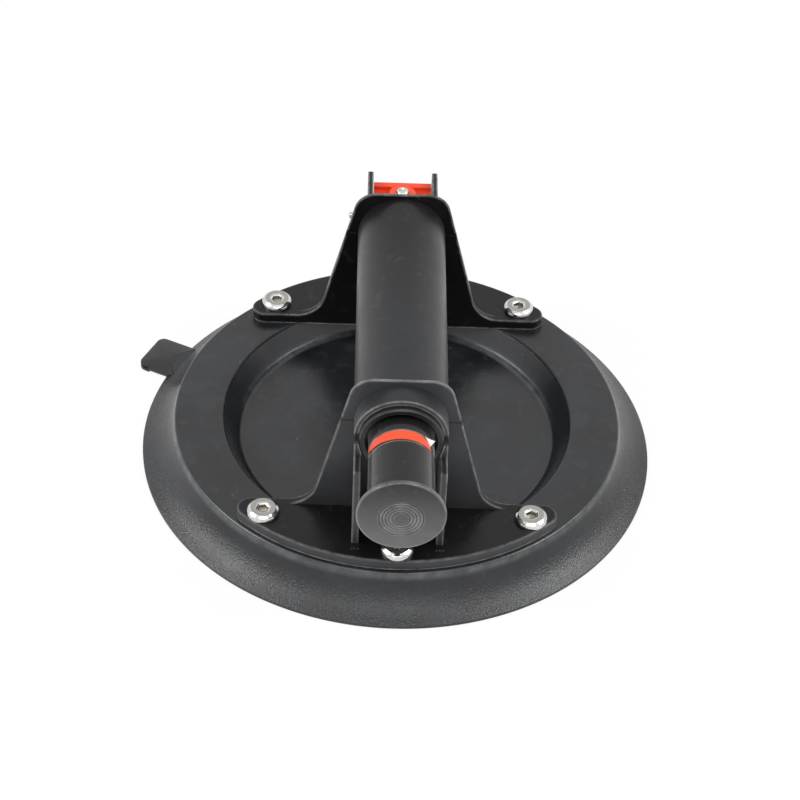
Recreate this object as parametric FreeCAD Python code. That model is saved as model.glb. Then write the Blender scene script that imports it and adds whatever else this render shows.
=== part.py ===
import FreeCAD, Part
import math
import os

# Floor tile suction lifter: an 8 inch rubber vacuum cup with a moulded two-part carrying handle.
# A hand pump lies inside the grip and its button sticks out at the front end. A release lever
# sits between two guard plates at the rear end.
# Frame: +Z up, +Y from the button to the lever, origin at the centre of the rubber rim's lower
# plane. The pump axis runs along Y at the height axis_z.

V = FreeCAD.Vector

# ---------------------------------------------------------------- driving dimensions (mm)
# Rubber cup
rim_radius = 105.0
rim_edge = 1.5
rim_break = 0.4
sealing_land = 1.6
lip_width = 9.0
knee_height = 6.2
knee_round = 22.0
ridge_inset = 13.7
ridge_round = 1.1
cup_height = 16.8
recess_inset = 19.8
recess_depth = 12.3
recess_draft = 2.4
recess_top_round = 1.0
recess_floor_round = 2.2
floor_thickness = 2.3
hollow_inset = 22.0
hollow_width = 10.5
hollow_depth = 1.4
hollow_round = 3.0
rib_radii = (22.0, 42.0, 62.0)
rib_width = 1.6
rib_height = 0.9
# Pull tab on the rim
tab_angle = 154.1
tab_reach = 13.8
tab_width = 19.6
tab_thickness = 2.5
tab_top = 3.3
tab_bead = 5.5
tab_round = 3.2
tab_root = 4.0
# Steel ring moulded into the rubber, with its bolt inserts
plate_width = 12.5
plate_thickness = 3.0
plate_cover = 4.8
insert_radius = 5.0
moulded_gap = 0.02
# Foot bolts
bolt_inset = 6.6
bolt_radius = 3.0
bolt_length = 12.0
bolt_head_radius = 6.5
bolt_margin = 1.7
bolt_head_height = 3.0
bolt_head_edge = 1.0
bolt_edge_round = 0.6
bolt_top_radius = 5.2
bolt_top_round = 0.6
bolt_socket = 4.0
bolt_socket_depth = 2.0
bolt_clearance = 0.3
thread_gap = 0.03
# Handle feet
foot_inset = 1.7
foot_depth = 33.3
foot_thickness = 4.5
foot_corner = 5.5
foot_edge_round = 0.7
# Handle webs
web_base_thickness = 3.3
web_top_thickness = 1.2
web_lean = 1.2
web_rise = 19.9
web_inset = 17.94
web_top_half = 17.98
web_corner = 9.5
web_flare = 12.0
web_edge_round = 0.4
# Grip and pump
grip_radius = 18.1
grip_wall = 2.0
axis_height = 49.0
shell_gap = 0.1
cylinder_wall = 2.6
mouth_reach = 14.3
mouth_chamfer = 0.5
# Front collar and the side gussets
collar_radius = 17.9
collar_length = 8.4
collar_edge_round = 0.4
nest_gap = 0.35
gusset_thickness = 2.8
gusset_reach = 24.0
shelf_gap = 0.41
shelf_corner = 1.2
gusset_edge_round = 0.5
# Rear guards
lever_gap = 0.25
guard_thickness = 2.3
guard_top = 15.4
guard_drop = 5.8
guard_corner = 0.8
guard_low_corner = 1.0
guard_edge_round = 0.3
ear_radius = 4.4
ear_round = 3.96
ear_root = 4.0
# Pump end cap, at the rear of the cylinder
cap_flange = 4.7
cap_plug = 10.3
cap_fit = 0.1
seal_width = 3.0
seal_depth = 1.8
seal_gap = 0.05
passage_radius = 1.2
channel_radius = 1.5
passage_drop = 3.5
seat_drop = 6.3
seat_radius = 3.0
seat_height = 2.2
flap_thickness = 0.8
intake_flap_radius = 6.0
pin_radius = 1.0
pin_head_radius = 2.2
pin_head = 1.0
pin_length = 5.0
# Hose from the end cap to the cup
elbow_drop = 13.1
elbow_radius = 2.2
elbow_leg = 10.0
barb_height = 0.35
barb_neck = 0.2
barb_length = 2.4
barb_count = 3
hose_wall = 1.1
hose_gap = 0.05
port_margin = 0.42
port_bore = 1.2
nipple_flange = 2.6
nipple_hex = 6.2
nipple_stem = 12.5
nipple_barb = 8.0
filter_radius = 5.0
filter_thickness = 1.4
# Plunger
bush_wall = 1.0
plunger_wall = 2.4
plunger_reach = 39.4
button_radius = 16.5
button_thickness = 1.6
button_round = 0.35
button_floor = 3.4
band_offset = 6.7
band_width = 5.4
band_depth = 0.4
bush_recess = 4.6
bush_length = 10.0
running_gap = 0.07
stop_gap = 0.3
piston_length = 9.7
piston_spigot = 5.0
spigot_gap = 0.1
vent_count = 3
vent_radius = 1.0
vent_circle = 5.5
exhaust_flap_radius = 7.4
flap_screw_radius = 1.5
flap_screw_head = 2.0
flap_screw_head_radius = 2.8
flap_screw_length = 9.0
# Return spring of the plunger
wire_sides = 8
spring_radius = 9.2
spring_wire = 0.8
spring_turns = 9
spring_end_gap = 0.3
# Release lever and its cross screw
pivot_offset = 8.5
pivot_radius = 1.5
pivot_length = 40.0
pivot_head_radius = 2.9
pivot_head = 2.2
pivot_head_round = 0.8
nut_width = 5.5
nut_thickness = 2.4
pivot_gap = 0.05
lever_half_width = 12.0
lever_cheek = 2.0
lever_hub = 4.0
hub_round = 3.8
lever_front_reach = 5.5
lever_rear_reach = 8.3
lever_floor_height = 7.8
lever_floor = 1.8
lever_bar_width = 3.1
lever_bar_height = 3.9
lever_low_round = 0.6
lever_thumb_round = 0.6
lever_edge_round = 0.5
boss_radius = 5.5
boss_offset = 0.8
boss_stub = 2.6
boss_step = 1.5
lever_screw_radius = 1.5
lever_screw_head_radius = 2.7
lever_screw_head = 1.6
lever_screw_length = 8.0
arm_half_width = 4.0
arm_thickness = 1.5
arm_end_round = 0.6
arm_inner_bend = 0.4
arm_outer_bend = 1.2
pad_radius = 3.4
pad_thickness = 2.0
pad_gap = 0.1
# Torsion spring of the lever
twist_radius = 2.6
twist_wire = 0.4
twist_turns = 3.75
twist_pitch = 1.05
twist_start = 4.9
twist_hole_gap = 0.15
twist_hook = 1.5
twist_leg = 0.34
# How far a joined or cutting shape reaches past the face that it meets
overlap = 1.0

# ---------------------------------------------------------------- derived places
knee_radius = rim_radius - lip_width
ridge_radius = rim_radius - ridge_inset
recess_radius = ridge_radius - recess_inset
hollow_inner_radius = rim_radius - hollow_inset
foot_radius = ridge_radius - foot_inset
grip_half_length = foot_radius - foot_depth
bolt_circle = foot_radius - bolt_inset
bolt_side_y = grip_half_length + bolt_head_radius + bolt_margin
bolt_side_x = math.sqrt(bolt_circle ** 2 - bolt_side_y ** 2)
web_base_half = bolt_side_x - web_inset
ceiling = cup_height - recess_depth - floor_thickness
foot_top = cup_height + foot_thickness
axis_z = cup_height + axis_height
web_top = axis_z + web_rise
web_middle = grip_half_length + web_lean + web_top_thickness / 2.0
grip_bore = grip_radius - grip_wall
cylinder_radius = grip_bore - shell_gap
cylinder_bore = cylinder_radius - cylinder_wall
mouth_y = -grip_half_length - mouth_reach
cap_front = grip_half_length
cap_rear = cap_front + cap_flange
plug_front = cap_front - cap_plug
pivot_y = cap_rear + pivot_offset
port_y = bolt_circle - bolt_head_radius - nipple_hex / math.sqrt(3) - port_margin
guard_inner = lever_half_width + lever_gap
guard_outer = guard_inner + guard_thickness
gusset_inner = guard_outer + nest_gap
gusset_outer = gusset_inner + gusset_thickness
gusset_drop = math.sqrt(button_radius ** 2 - gusset_inner ** 2) + shelf_gap
button_rear = mouth_y - plunger_reach + button_thickness
button_front = mouth_y - plunger_reach
bush_front = mouth_y + bush_recess
bush_rear = bush_front + bush_length
piston_front = bush_rear + stop_gap
piston_rear = piston_front + piston_length
piston_radius = cylinder_bore - running_gap
plunger_radius = cylinder_bore - bush_wall
plunger_bore = plunger_radius - plunger_wall
spigot_radius = plunger_bore - spigot_gap
seal_inner = cylinder_bore - cap_fit - seal_depth
plate_inner = bolt_circle - plate_width / 2.0
plate_outer = bolt_circle + plate_width / 2.0
plate_top = cup_height - plate_cover
hose_bore = elbow_radius + barb_height + hose_gap
lever_front = pivot_y - lever_front_reach
lever_rear = pivot_y + lever_rear_reach
lever_floor_z = axis_z + lever_floor_height
lever_top = lever_floor_z + lever_bar_height
boss_y = pivot_y + boss_offset
stub_radius = boss_radius - boss_step
twist_end = twist_start + twist_pitch * twist_turns


# ---------------------------------------------------------------- helpers
def rod(radius, length, base, direction):
    """Solid cylinder from base along direction."""
    return Part.makeCylinder(radius, length, base, direction)


def rod_y(radius, y_low, y_high, x=0.0, z=axis_z):
    """Solid cylinder along Y between two stations."""
    return rod(radius, y_high - y_low, V(x, y_low, z), V(0, 1, 0))


def rod_x(radius, x_low, x_high, y, z):
    """Solid cylinder along X between two stations."""
    return rod(radius, x_high - x_low, V(x_low, y, z), V(1, 0, 0))


def rod_z(radius, z_low, z_high, x=0.0, y=0.0):
    """Solid cylinder along Z between two heights."""
    return rod(radius, z_high - z_low, V(x, y, z_low), V(0, 0, 1))


def tube_y(outer, inner, y_low, y_high):
    """Tube along the pump axis."""
    return rod_y(outer, y_low, y_high).cut(rod_y(inner, y_low, y_high))


def block(x_low, x_high, y_low, y_high, z_low, z_high):
    """Box between two corners."""
    return Part.makeBox(x_high - x_low, y_high - y_low, z_high - z_low, V(x_low, y_low, z_low))


def rounded_wire(corners, place):
    """Closed outline of (u, v, radius) corners; place(u, v) puts a point in space."""
    count = len(corners)
    edges = []
    ends = []
    for index, (u, v, radius) in enumerate(corners):
        before = corners[index - 1]
        after = corners[(index + 1) % count]
        to_before = V(before[0] - u, before[1] - v, 0).normalize()
        to_after = V(after[0] - u, after[1] - v, 0).normalize()
        corner = V(u, v, 0)
        if radius <= 0:
            ends.append((corner, corner, corner))
            continue
        half = to_before.getAngle(to_after) / 2.0
        tangent = radius / math.tan(half)
        centre = corner + (to_before + to_after).normalize() * (radius / math.sin(half))
        middle = centre + (corner - centre).normalize() * radius
        ends.append((corner + to_before * tangent, middle, corner + to_after * tangent))
    for index, (start, middle, finish) in enumerate(ends):
        if start.distanceToPoint(finish) > 1e-6:
            points = [place(point.x, point.y) for point in (start, middle, finish)]
            edges.append(Part.Arc(*points).toShape())
        following = ends[(index + 1) % count][0]
        if finish.distanceToPoint(following) > 1e-6:
            line = Part.LineSegment(place(finish.x, finish.y), place(following.x, following.y))
            edges.append(line.toShape())
    return Part.Wire(edges)


def turned_z(corners):
    """Solid of revolution about Z from (radius, height, rounding) corners."""
    face = Part.Face(rounded_wire(corners, lambda r, z: V(r, 0, z)))
    return face.revolve(V(0, 0, 0), V(0, 0, 1), 360)


def turned_pump(corners):
    """Solid of revolution about the pump axis from (y, radius, rounding) corners."""
    face = Part.Face(rounded_wire(corners, lambda y, r: V(0, y, axis_z + r)))
    return face.revolve(V(0, 0, axis_z), V(0, 1, 0), 360)


def plate_xz(corners, y_low, y_high):
    """Plate along Y with an (x, z, rounding) outline."""
    face = Part.Face(rounded_wire(corners, lambda x, z: V(x, y_low, z)))
    return face.extrude(V(0, y_high - y_low, 0))


def plate_yz(corners, x_low, x_high):
    """Plate along X with a (y, z, rounding) outline."""
    face = Part.Face(rounded_wire(corners, lambda y, z: V(x_low, y, z)))
    return face.extrude(V(x_high - x_low, 0, 0))


def hexagon(width, base, height, direction=V(0, 0, 1)):
    """Six-sided prism, width across flats, from base along direction."""
    prism = Part.Face(Part.makePolygon(
        [V(width / math.sqrt(3) * math.cos(math.radians(60 * step)),
           width / math.sqrt(3) * math.sin(math.radians(60 * step)), 0)
         for step in range(7)])).extrude(V(0, 0, height))
    turn = FreeCAD.Rotation(V(0, 0, 1), direction)
    prism.Placement = FreeCAD.Placement(base, turn)
    return prism


def mirror_y(shape):
    """The same shape at the other end of the handle."""
    return shape.mirror(V(0, 0, 0), V(0, 1, 0))


def mirror_x(shape):
    """The same shape on the other side of the handle."""
    return shape.mirror(V(0, 0, 0), V(1, 0, 0))


def fused(first, *others):
    """One clean solid out of several."""
    return first.fuse(list(others)).removeSplitter()


def round_edges(shape, radius, wanted):
    """Fillet of the edges that wanted(edge) picks."""
    return shape.makeFillet(radius, [edge for edge in shape.Edges if wanted(edge)])


def bolt_places():
    """Centres of the foot bolts: one on the axis and one on each side, at both ends."""
    places = []
    for end in (-1, 1):
        side_y = end * bolt_side_y
        places += [(bolt_side_x, side_y), (0.0, end * bolt_circle), (-bolt_side_x, side_y)]
    return places


# ---------------------------------------------------------------- rubber cup
def rubber_cup():
    """Moulded cup: sealing lip, flat shoulder, dished centre, pull tab, pockets for the metal."""
    recess_floor = cup_height - recess_depth
    ribs = []
    for radius in rib_radii:
        ribs += [(radius - rib_width / 2, ceiling, 0), (radius - rib_width / 3, ceiling - rib_height, 0),
                 (radius + rib_width / 3, ceiling - rib_height, 0), (radius + rib_width / 2, ceiling, 0)]
    hollow_outer = hollow_inner_radius + hollow_width
    cup = turned_z([(0, ceiling, 0)] + ribs + [
        (hollow_inner_radius - hollow_depth, ceiling, 0),
        (hollow_inner_radius, ceiling + hollow_depth, 0),
        (hollow_outer, ceiling + hollow_depth, hollow_round),
        (rim_radius - rim_break - sealing_land, 0, 0),
        (rim_radius - rim_break, 0, 0),
        (rim_radius, rim_break, 0),
        (rim_radius, rim_edge, 0),
        (knee_radius, knee_height, knee_round),
        (ridge_radius, cup_height, ridge_round),
        (recess_radius, cup_height, recess_top_round),
        (recess_radius - recess_draft, recess_floor, recess_floor_round),
        (0, recess_floor, 0)])
    cup = fused(cup, pull_tab())
    cup = cup.cut(backing_ring(moulded_gap, False))
    for x, y in bolt_places():
        cup = cup.cut(rod_z(insert_radius + moulded_gap, plate_top, cup_height, x, y))
    stem_end = foot_top - nipple_stem
    cup = cup.cut(rod_z(elbow_radius + moulded_gap, stem_end, cup_height, 0, port_y))
    cup = cup.cut(rod_z(port_bore, ceiling, stem_end, 0, port_y))
    return cup.cut(rod_z(filter_radius, ceiling, ceiling + filter_thickness, 0, port_y))


def pull_tab():
    """Flat tab that lifts the rim, with a thicker finger bead at its end."""
    start = rim_radius - tab_root
    end = rim_radius + tab_reach
    side = tab_width / 2.0
    outline = [(start, -side, 0), (end, -side, tab_round), (end, side, tab_round), (start, side, 0)]
    face = Part.Face(rounded_wire(outline, lambda x, y: V(x, y, 0)))
    tab = face.extrude(V(0, 0, tab_top))
    under = block(start, end - tab_bead, -side, side, 0, tab_top - tab_thickness)
    tab = tab.cut(under)
    tab.rotate(V(0, 0, 0), V(0, 0, 1), tab_angle)
    return tab


def backing_ring(gap=0.0, with_holes=True):
    """Flat steel ring inside the rubber; the bolts screw through it."""
    ring = rod_z(plate_outer + gap, plate_top - plate_thickness, plate_top)
    ring = ring.cut(rod_z(plate_inner - gap, plate_top - plate_thickness, plate_top))
    if with_holes:
        for x, y in bolt_places():
            ring = ring.cut(rod_z(bolt_radius + thread_gap, plate_top - plate_thickness, plate_top, x, y))
    return ring


def threaded_inserts():
    """Round bushes between the steel ring and the feet."""
    inserts = []
    for x, y in bolt_places():
        bush = rod_z(insert_radius, plate_top, cup_height, x, y)
        inserts.append(bush.cut(rod_z(bolt_radius + thread_gap, plate_top, cup_height, x, y)))
    return Part.makeCompound(inserts)


def foot_bolts():
    """Low-head socket bolts that hold the handle on the cup."""
    head = turned_z([(0, 0, 0), (bolt_head_radius, 0, 0), (bolt_head_radius, bolt_head_edge, bolt_edge_round),
                     (bolt_top_radius, bolt_head_height, bolt_top_round), (0, bolt_head_height, 0)])
    head = head.cut(hexagon(bolt_socket, V(0, 0, bolt_head_height - bolt_socket_depth), bolt_socket_depth))
    bolt = fused(head, rod_z(bolt_radius, -bolt_length, 0))
    bolts = []
    for x, y in bolt_places():
        placed = bolt.copy()
        placed.translate(V(x, y, foot_top))
        bolts.append(placed)
    return Part.makeCompound(bolts)


# ---------------------------------------------------------------- handle
def foot():
    """Circular-segment foot plate at the rear end, with round corners."""
    centre_y = grip_half_length + foot_corner
    centre_x = math.sqrt((foot_radius - foot_corner) ** 2 - centre_y ** 2)
    outward = V(centre_x, centre_y, 0).normalize()
    corner_middle = (outward + V(0, -1, 0)).normalize() * foot_corner + V(centre_x, centre_y, 0)
    arc_end = outward * foot_radius
    chord_end = V(centre_x, grip_half_length, 0)

    def left(point):
        return V(-point.x, point.y, 0)

    edges = [Part.LineSegment(left(chord_end), chord_end).toShape(),
             Part.Arc(chord_end, corner_middle, arc_end).toShape(),
             Part.Arc(arc_end, V(0, foot_radius, 0), left(arc_end)).toShape(),
             Part.Arc(left(arc_end), left(corner_middle), left(chord_end)).toShape()]
    plate = Part.Face(Part.Wire(edges)).extrude(V(0, 0, foot_thickness))
    plate.translate(V(0, 0, cup_height))
    return round_edges(plate, foot_edge_round, rim_of_foot)


def rim_of_foot(edge):
    """True for the upper edges of a foot, apart from the one under the web."""
    return edge.BoundBox.ZMin > foot_top - 0.01 and edge.BoundBox.YMax > grip_half_length + overlap


def web():
    """Upright end plate at the rear: wide flared foot, straight sides, round top, both faces drafted."""
    spread = web_base_half + web_flare
    outer_face = grip_half_length + web_base_thickness
    outline = [(-spread, foot_top - overlap, 0), (spread, foot_top - overlap, 0), (spread, foot_top, 0),
               (web_base_half, foot_top, web_flare), (web_top_half, web_top, web_corner),
               (-web_top_half, web_top, web_corner), (-web_base_half, foot_top, web_flare),
               (-spread, foot_top, 0)]
    plate = plate_xz(outline, grip_half_length, outer_face)
    beyond = outer_face + overlap
    above = web_top + overlap
    inside = grip_half_length - overlap
    top_face = grip_half_length + web_lean
    draft = [plate_yz([(outer_face, foot_top, 0), (beyond, foot_top, 0), (beyond, above, 0),
                       (top_face + web_top_thickness, above, 0)], -spread, spread),
             plate_yz([(inside, foot_top, 0), (grip_half_length, foot_top, 0), (top_face, above, 0),
                       (inside, above, 0)], -spread, spread)]
    return round_edges(plate.cut(draft), web_edge_round, rim_of_web)


def rim_of_web(edge):
    """True for the edges along the sides and the top of a web's two faces."""
    box = edge.BoundBox
    return box.ZMax > foot_top + web_flare and box.DiagonalLength > web_base_thickness + overlap


def gusset():
    """Upright side plate behind a web, from the foot up to the pump, with a lower outer shelf."""
    shelf = axis_z - gusset_drop
    reach = grip_half_length + gusset_reach
    cradle = grip_half_length + mouth_reach
    root = web_middle
    base = foot_top - overlap
    outline = [(root, base, 0), (reach, base, 0), (reach, shelf, shelf_corner), (cradle, shelf, 0),
               (cradle, axis_z, 0), (root, axis_z, 0)]
    plate = plate_yz(outline, gusset_inner, gusset_outer)
    return round_edges(plate, gusset_edge_round, lambda edge: edge.BoundBox.YMin > reach - 0.01
                       and edge.BoundBox.ZMin < shelf - shelf_corner - overlap)


def above_seam():
    """Space above the parting plane of the handle."""
    side = 2 * rim_radius
    return block(-side, side, -side, side, axis_z, axis_z + side)


def below_seam():
    """Space below the parting plane of the handle."""
    side = 2 * rim_radius
    return block(-side, side, -side, side, axis_z - side, axis_z)


def handle_body():
    """Lower half of the handle: both feet, the webs' legs, the gussets and the grip's lower half."""
    rear = fused(foot(), web(), gusset(), mirror_x(gusset()))
    body = fused(rear, mirror_y(rear), rod_y(grip_radius, -web_middle, web_middle))
    body = body.cut(above_seam())
    ear_front = pivot_y - ear_radius
    ear_rear = pivot_y + ear_radius
    ear_top = axis_z + ear_radius
    outline = [(ear_front, axis_z - ear_radius - ear_root, 0), (ear_rear, axis_z - gusset_drop, 0),
               (ear_rear, ear_top, ear_round), (ear_front, ear_top, ear_round)]
    ear = plate_yz(outline, gusset_inner, gusset_outer)
    body = fused(body, ear, mirror_x(ear))
    body = body.cut(rod_y(grip_bore, mouth_y - overlap, cap_rear + stop_gap))
    for x, y in bolt_places():
        body = body.cut(foot_hole(bolt_radius + bolt_clearance, x, y))
    body = body.cut(foot_hole(elbow_radius + bolt_clearance, 0, port_y))
    return body.cut(pivot_hole(pivot_gap * 2))


def foot_hole(radius, x, y):
    """Round hole through a foot."""
    return rod_z(radius, cup_height - overlap, foot_top + overlap, x, y)


def pivot_hole(gap):
    """Cross hole of the release lever's screw."""
    reach = gusset_outer + overlap
    return rod_x(pivot_radius + gap, -reach, reach, pivot_y, axis_z)


def guard():
    """Plate beside the release lever, hanging from the rear web's upper half."""
    clear_of_cap = axis_z + math.sqrt(grip_bore ** 2 - guard_inner ** 2) + stop_gap
    behind_cap = cap_rear + stop_gap
    rear = grip_half_length + gusset_reach
    low = axis_z - guard_drop
    high = axis_z + guard_top
    outline = [(web_middle, clear_of_cap, 0), (behind_cap, clear_of_cap, 0), (behind_cap, low, 0),
               (rear, low, guard_low_corner), (rear, high, guard_corner), (web_middle, high, 0)]
    plate = plate_yz(outline, guard_inner, guard_outer)
    return round_edges(plate, guard_edge_round, rim_of_guard)


def rim_of_guard(edge):
    """True for the edges round a guard's free outline."""
    box = edge.BoundBox
    return box.XMax - box.XMin < guard_thickness / 2 and box.YMax > cap_rear + overlap and box.ZMax > axis_z


def handle_shell():
    """Upper half of the handle: grip top, web tops, front collar and the rear guards."""
    collar_front = -grip_half_length - web_base_thickness - collar_length
    collar = rod_y(collar_radius, collar_front, -web_middle)
    collar = round_edges(collar, collar_edge_round, lambda edge: edge.BoundBox.YMax < collar_front + 0.01)
    shell = fused(web(), mirror_y(web()), rod_y(grip_radius, -web_middle, web_middle), collar)
    shell = shell.cut(below_seam())
    shell = fused(shell, guard(), mirror_x(guard()))
    shell = shell.cut(rod_y(grip_bore, mouth_y - overlap, cap_rear))
    return shell.cut(pivot_hole(pivot_gap * 2))


# ---------------------------------------------------------------- pump, fixed parts
def pump_cylinder():
    """Plain tube with a chamfered mouth."""
    chamfer_end = mouth_y + mouth_chamfer
    return turned_pump([(mouth_y, cylinder_bore + mouth_chamfer, 0),
                        (mouth_y, cylinder_radius - mouth_chamfer, 0),
                        (chamfer_end, cylinder_radius, 0), (cap_front, cylinder_radius, 0),
                        (cap_front, cylinder_bore, 0), (chamfer_end, cylinder_bore, 0)])


def cylinder_end_cap():
    """Plug and flange that close the cylinder, with the air passages and the valve seat."""
    plug = cylinder_bore - cap_fit
    groove = plug_front + seal_width
    groove_end = groove + seal_width
    cap = turned_pump([(plug_front, 0, 0), (plug_front, plug, 0), (groove, plug, 0), (groove, seal_inner, 0),
                       (groove_end, seal_inner, 0), (groove_end, plug, 0), (cap_front, plug, 0),
                       (cap_front, cylinder_radius, 0), (cap_rear - mouth_chamfer, cylinder_radius, 0),
                       (cap_rear, cylinder_radius - mouth_chamfer, 0), (cap_rear, 0, 0)])
    seat_z = axis_z - seat_drop
    elbow_z = axis_z - elbow_drop
    channel_y = (cap_front + cap_rear) / 2.0
    cap = fused(cap, rod_y(seat_radius, cap_rear - overlap, cap_rear + seat_height, 0, seat_z))
    cap = cap.cut(rod_y(passage_radius, plug_front, channel_y, 0, axis_z - passage_drop))
    cap = cap.cut(rod_z(channel_radius, elbow_z, axis_z - passage_drop, 0, channel_y))
    cap = cap.cut(rod_y(passage_radius, channel_y, cap_rear + seat_height, 0, seat_z))
    cap = cap.cut(rod_y(elbow_radius + moulded_gap, channel_y, cap_rear, 0, elbow_z))
    cap = cap.cut(rod_y(pin_radius + moulded_gap, plug_front, plug_front + pin_length, 0, axis_z))
    spring_end = rod_y(twist_wire + twist_hole_gap, cap_rear - twist_hook - stop_gap, cap_rear,
                       twist_end, axis_z + twist_radius)
    return cap.cut(spring_end)


def end_cap_seal():
    """Ring seal in the end cap's groove."""
    return seal_ring(plug_front + seal_width)


def seal_ring(groove):
    """Ring seal in a groove that starts at the given place."""
    front = groove + seal_gap
    rear = groove + seal_width - seal_gap
    return tube_y(cylinder_bore - seal_gap, seal_inner + seal_gap, front, rear)


def intake_flap():
    """Rubber disc that lets air into the cylinder only."""
    flap = rod_y(intake_flap_radius, plug_front - flap_thickness, plug_front)
    return flap.cut(rod_y(pin_radius + moulded_gap, plug_front - flap_thickness, plug_front))


def intake_flap_pin():
    """Headed pin that holds the intake flap."""
    face = plug_front - flap_thickness
    tip = plug_front + pin_length - stop_gap
    return turned_pump([(face - pin_head, 0, 0), (face - pin_head, pin_head_radius, 0),
                        (face, pin_head_radius, 0), (face, pin_radius, 0), (tip, pin_radius, 0), (tip, 0, 0)])


def guide_bush():
    """Plain bush in the mouth that guides the plunger and holds the piston in."""
    return tube_y(cylinder_bore - moulded_gap, plunger_radius + running_gap, bush_front, bush_rear)


def barb(z_start, z_step):
    """Barbed hose tail along Z at the port, from z_start in the direction of z_step's sign."""
    way = math.copysign(1.0, z_step)
    tail = None
    for index in range(barb_count):
        base = V(0, port_y, z_start + way * index * barb_length)
        tip = elbow_radius - barb_neck
        cone = Part.makeCone(elbow_radius + barb_height, tip, barb_length, base, V(0, 0, way))
        tail = cone if tail is None else fused(tail, cone)
    return tail


def outlet_elbow():
    """Elbow in the end cap, turned down to the hose."""
    elbow_z = axis_z - elbow_drop
    socket = (cap_front + cap_rear) / 2.0
    elbow = fused(rod_y(elbow_radius, socket, port_y, 0, elbow_z),
                  Part.makeSphere(elbow_radius, V(0, port_y, elbow_z)),
                  rod_z(elbow_radius, elbow_z - elbow_leg, elbow_z, 0, port_y),
                  barb(elbow_z - elbow_leg + barb_count * barb_length, -1))
    elbow = elbow.cut(rod_y(port_bore, socket, port_y, 0, elbow_z))
    elbow = elbow.cut(Part.makeSphere(port_bore, V(0, port_y, elbow_z)))
    return elbow.cut(rod_z(port_bore, elbow_z - elbow_leg, elbow_z, 0, port_y))


def pad_nipple():
    """Hose nipple that passes through the rear foot into the rubber."""
    flange_top = foot_top + nipple_flange
    nipple = fused(rod_z(elbow_radius, foot_top - nipple_stem, foot_top, 0, port_y),
                   hexagon(nipple_hex, V(0, port_y, foot_top), nipple_flange),
                   rod_z(elbow_radius, flange_top, flange_top + nipple_barb, 0, port_y),
                   barb(flange_top + nipple_barb - barb_count * barb_length, 1))
    return nipple.cut(rod_z(port_bore, foot_top - nipple_stem, flange_top + nipple_barb, 0, port_y))


def air_hose():
    """Short straight hose between the nipple and the elbow."""
    low = foot_top + nipple_flange
    high = axis_z - elbow_drop - elbow_radius
    hose = rod_z(hose_bore + hose_wall, low, high, 0, port_y)
    return hose.cut(rod_z(hose_bore, low, high, 0, port_y))


def port_filter():
    """Felt disc in the cup's air port."""
    return rod_z(filter_radius - seal_gap, ceiling, ceiling + filter_thickness, 0, port_y)


# ---------------------------------------------------------------- plunger
def plunger():
    """Hollow plunger, closed by its button."""
    floor = button_front + button_floor
    band_front = mouth_y - band_offset - band_width
    band_rear = mouth_y - band_offset
    groove = plunger_radius - band_depth
    return turned_pump([(button_front, 0, 0), (button_front, button_radius, button_round),
                        (button_rear, button_radius, button_round), (button_rear, plunger_radius, 0),
                        (band_front, plunger_radius, 0), (band_front, groove, 0),
                        (band_rear, groove, 0), (band_rear, plunger_radius, 0),
                        (piston_front, plunger_radius, 0), (piston_front, plunger_bore, 0),
                        (floor, plunger_bore, 0), (floor, 0, 0)])


def indicator_band():
    """Coloured band that shows when the pump has lost vacuum."""
    return tube_y(plunger_radius - moulded_gap, plunger_radius - band_depth + moulded_gap,
                  mouth_y - band_offset - band_width, mouth_y - band_offset)


def piston_head():
    """Piston with its seal groove, spigot and air vents."""
    groove = (piston_front + piston_rear - seal_width) / 2.0
    groove_end = groove + seal_width
    spigot = piston_front - piston_spigot
    piston = turned_pump([(spigot, 0, 0), (spigot, spigot_radius - mouth_chamfer, 0),
                          (spigot + mouth_chamfer, spigot_radius, 0), (piston_front, spigot_radius, 0),
                          (piston_front, piston_radius, 0), (groove, piston_radius, 0),
                          (groove, seal_inner, 0), (groove_end, seal_inner, 0),
                          (groove_end, piston_radius, 0),
                          (piston_rear, piston_radius, 0), (piston_rear, 0, 0)])
    for index in range(vent_count):
        angle = 2 * math.pi * index / vent_count
        piston = piston.cut(rod_y(vent_radius, spigot, piston_rear, vent_circle * math.cos(angle),
                                  axis_z + vent_circle * math.sin(angle)))
    hole_end = spigot - flap_thickness + flap_screw_length + stop_gap
    return piston.cut(rod_y(flap_screw_radius + moulded_gap, spigot, hole_end))


def piston_seal():
    """Ring seal in the piston's groove."""
    return seal_ring((piston_front + piston_rear - seal_width) / 2.0)


def exhaust_flap():
    """Rubber disc that lets air out of the cylinder through the piston."""
    spigot = piston_front - piston_spigot
    flap = rod_y(exhaust_flap_radius, spigot - flap_thickness, spigot)
    return flap.cut(rod_y(flap_screw_radius + moulded_gap, spigot - flap_thickness, spigot))


def exhaust_flap_screw():
    """Screw that holds the exhaust flap on the piston."""
    face = piston_front - piston_spigot - flap_thickness
    return turned_pump([(face - flap_screw_head, 0, 0), (face - flap_screw_head, flap_screw_head_radius, 0),
                        (face, flap_screw_head_radius, 0), (face, flap_screw_radius, 0),
                        (face + flap_screw_length, flap_screw_radius, 0), (face + flap_screw_length, 0, 0)])


def coil(mean_radius, wire_radius, pitch, turns, place):
    """Wire coil along its local Z axis, put where place says."""
    helix = Part.makeHelix(pitch, pitch * turns, mean_radius)
    corners = [V(mean_radius + wire_radius * math.cos(angle), 0, wire_radius * math.sin(angle))
               for angle in [2 * math.pi * side / wire_sides for side in range(wire_sides + 1)]]
    wire = Part.Wire(helix.Edges).makePipeShell([Part.makePolygon(corners)], True, True)
    solid = wire if wire.ShapeType == "Solid" else Part.Solid(wire)
    solid.Placement = place
    return solid


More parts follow.
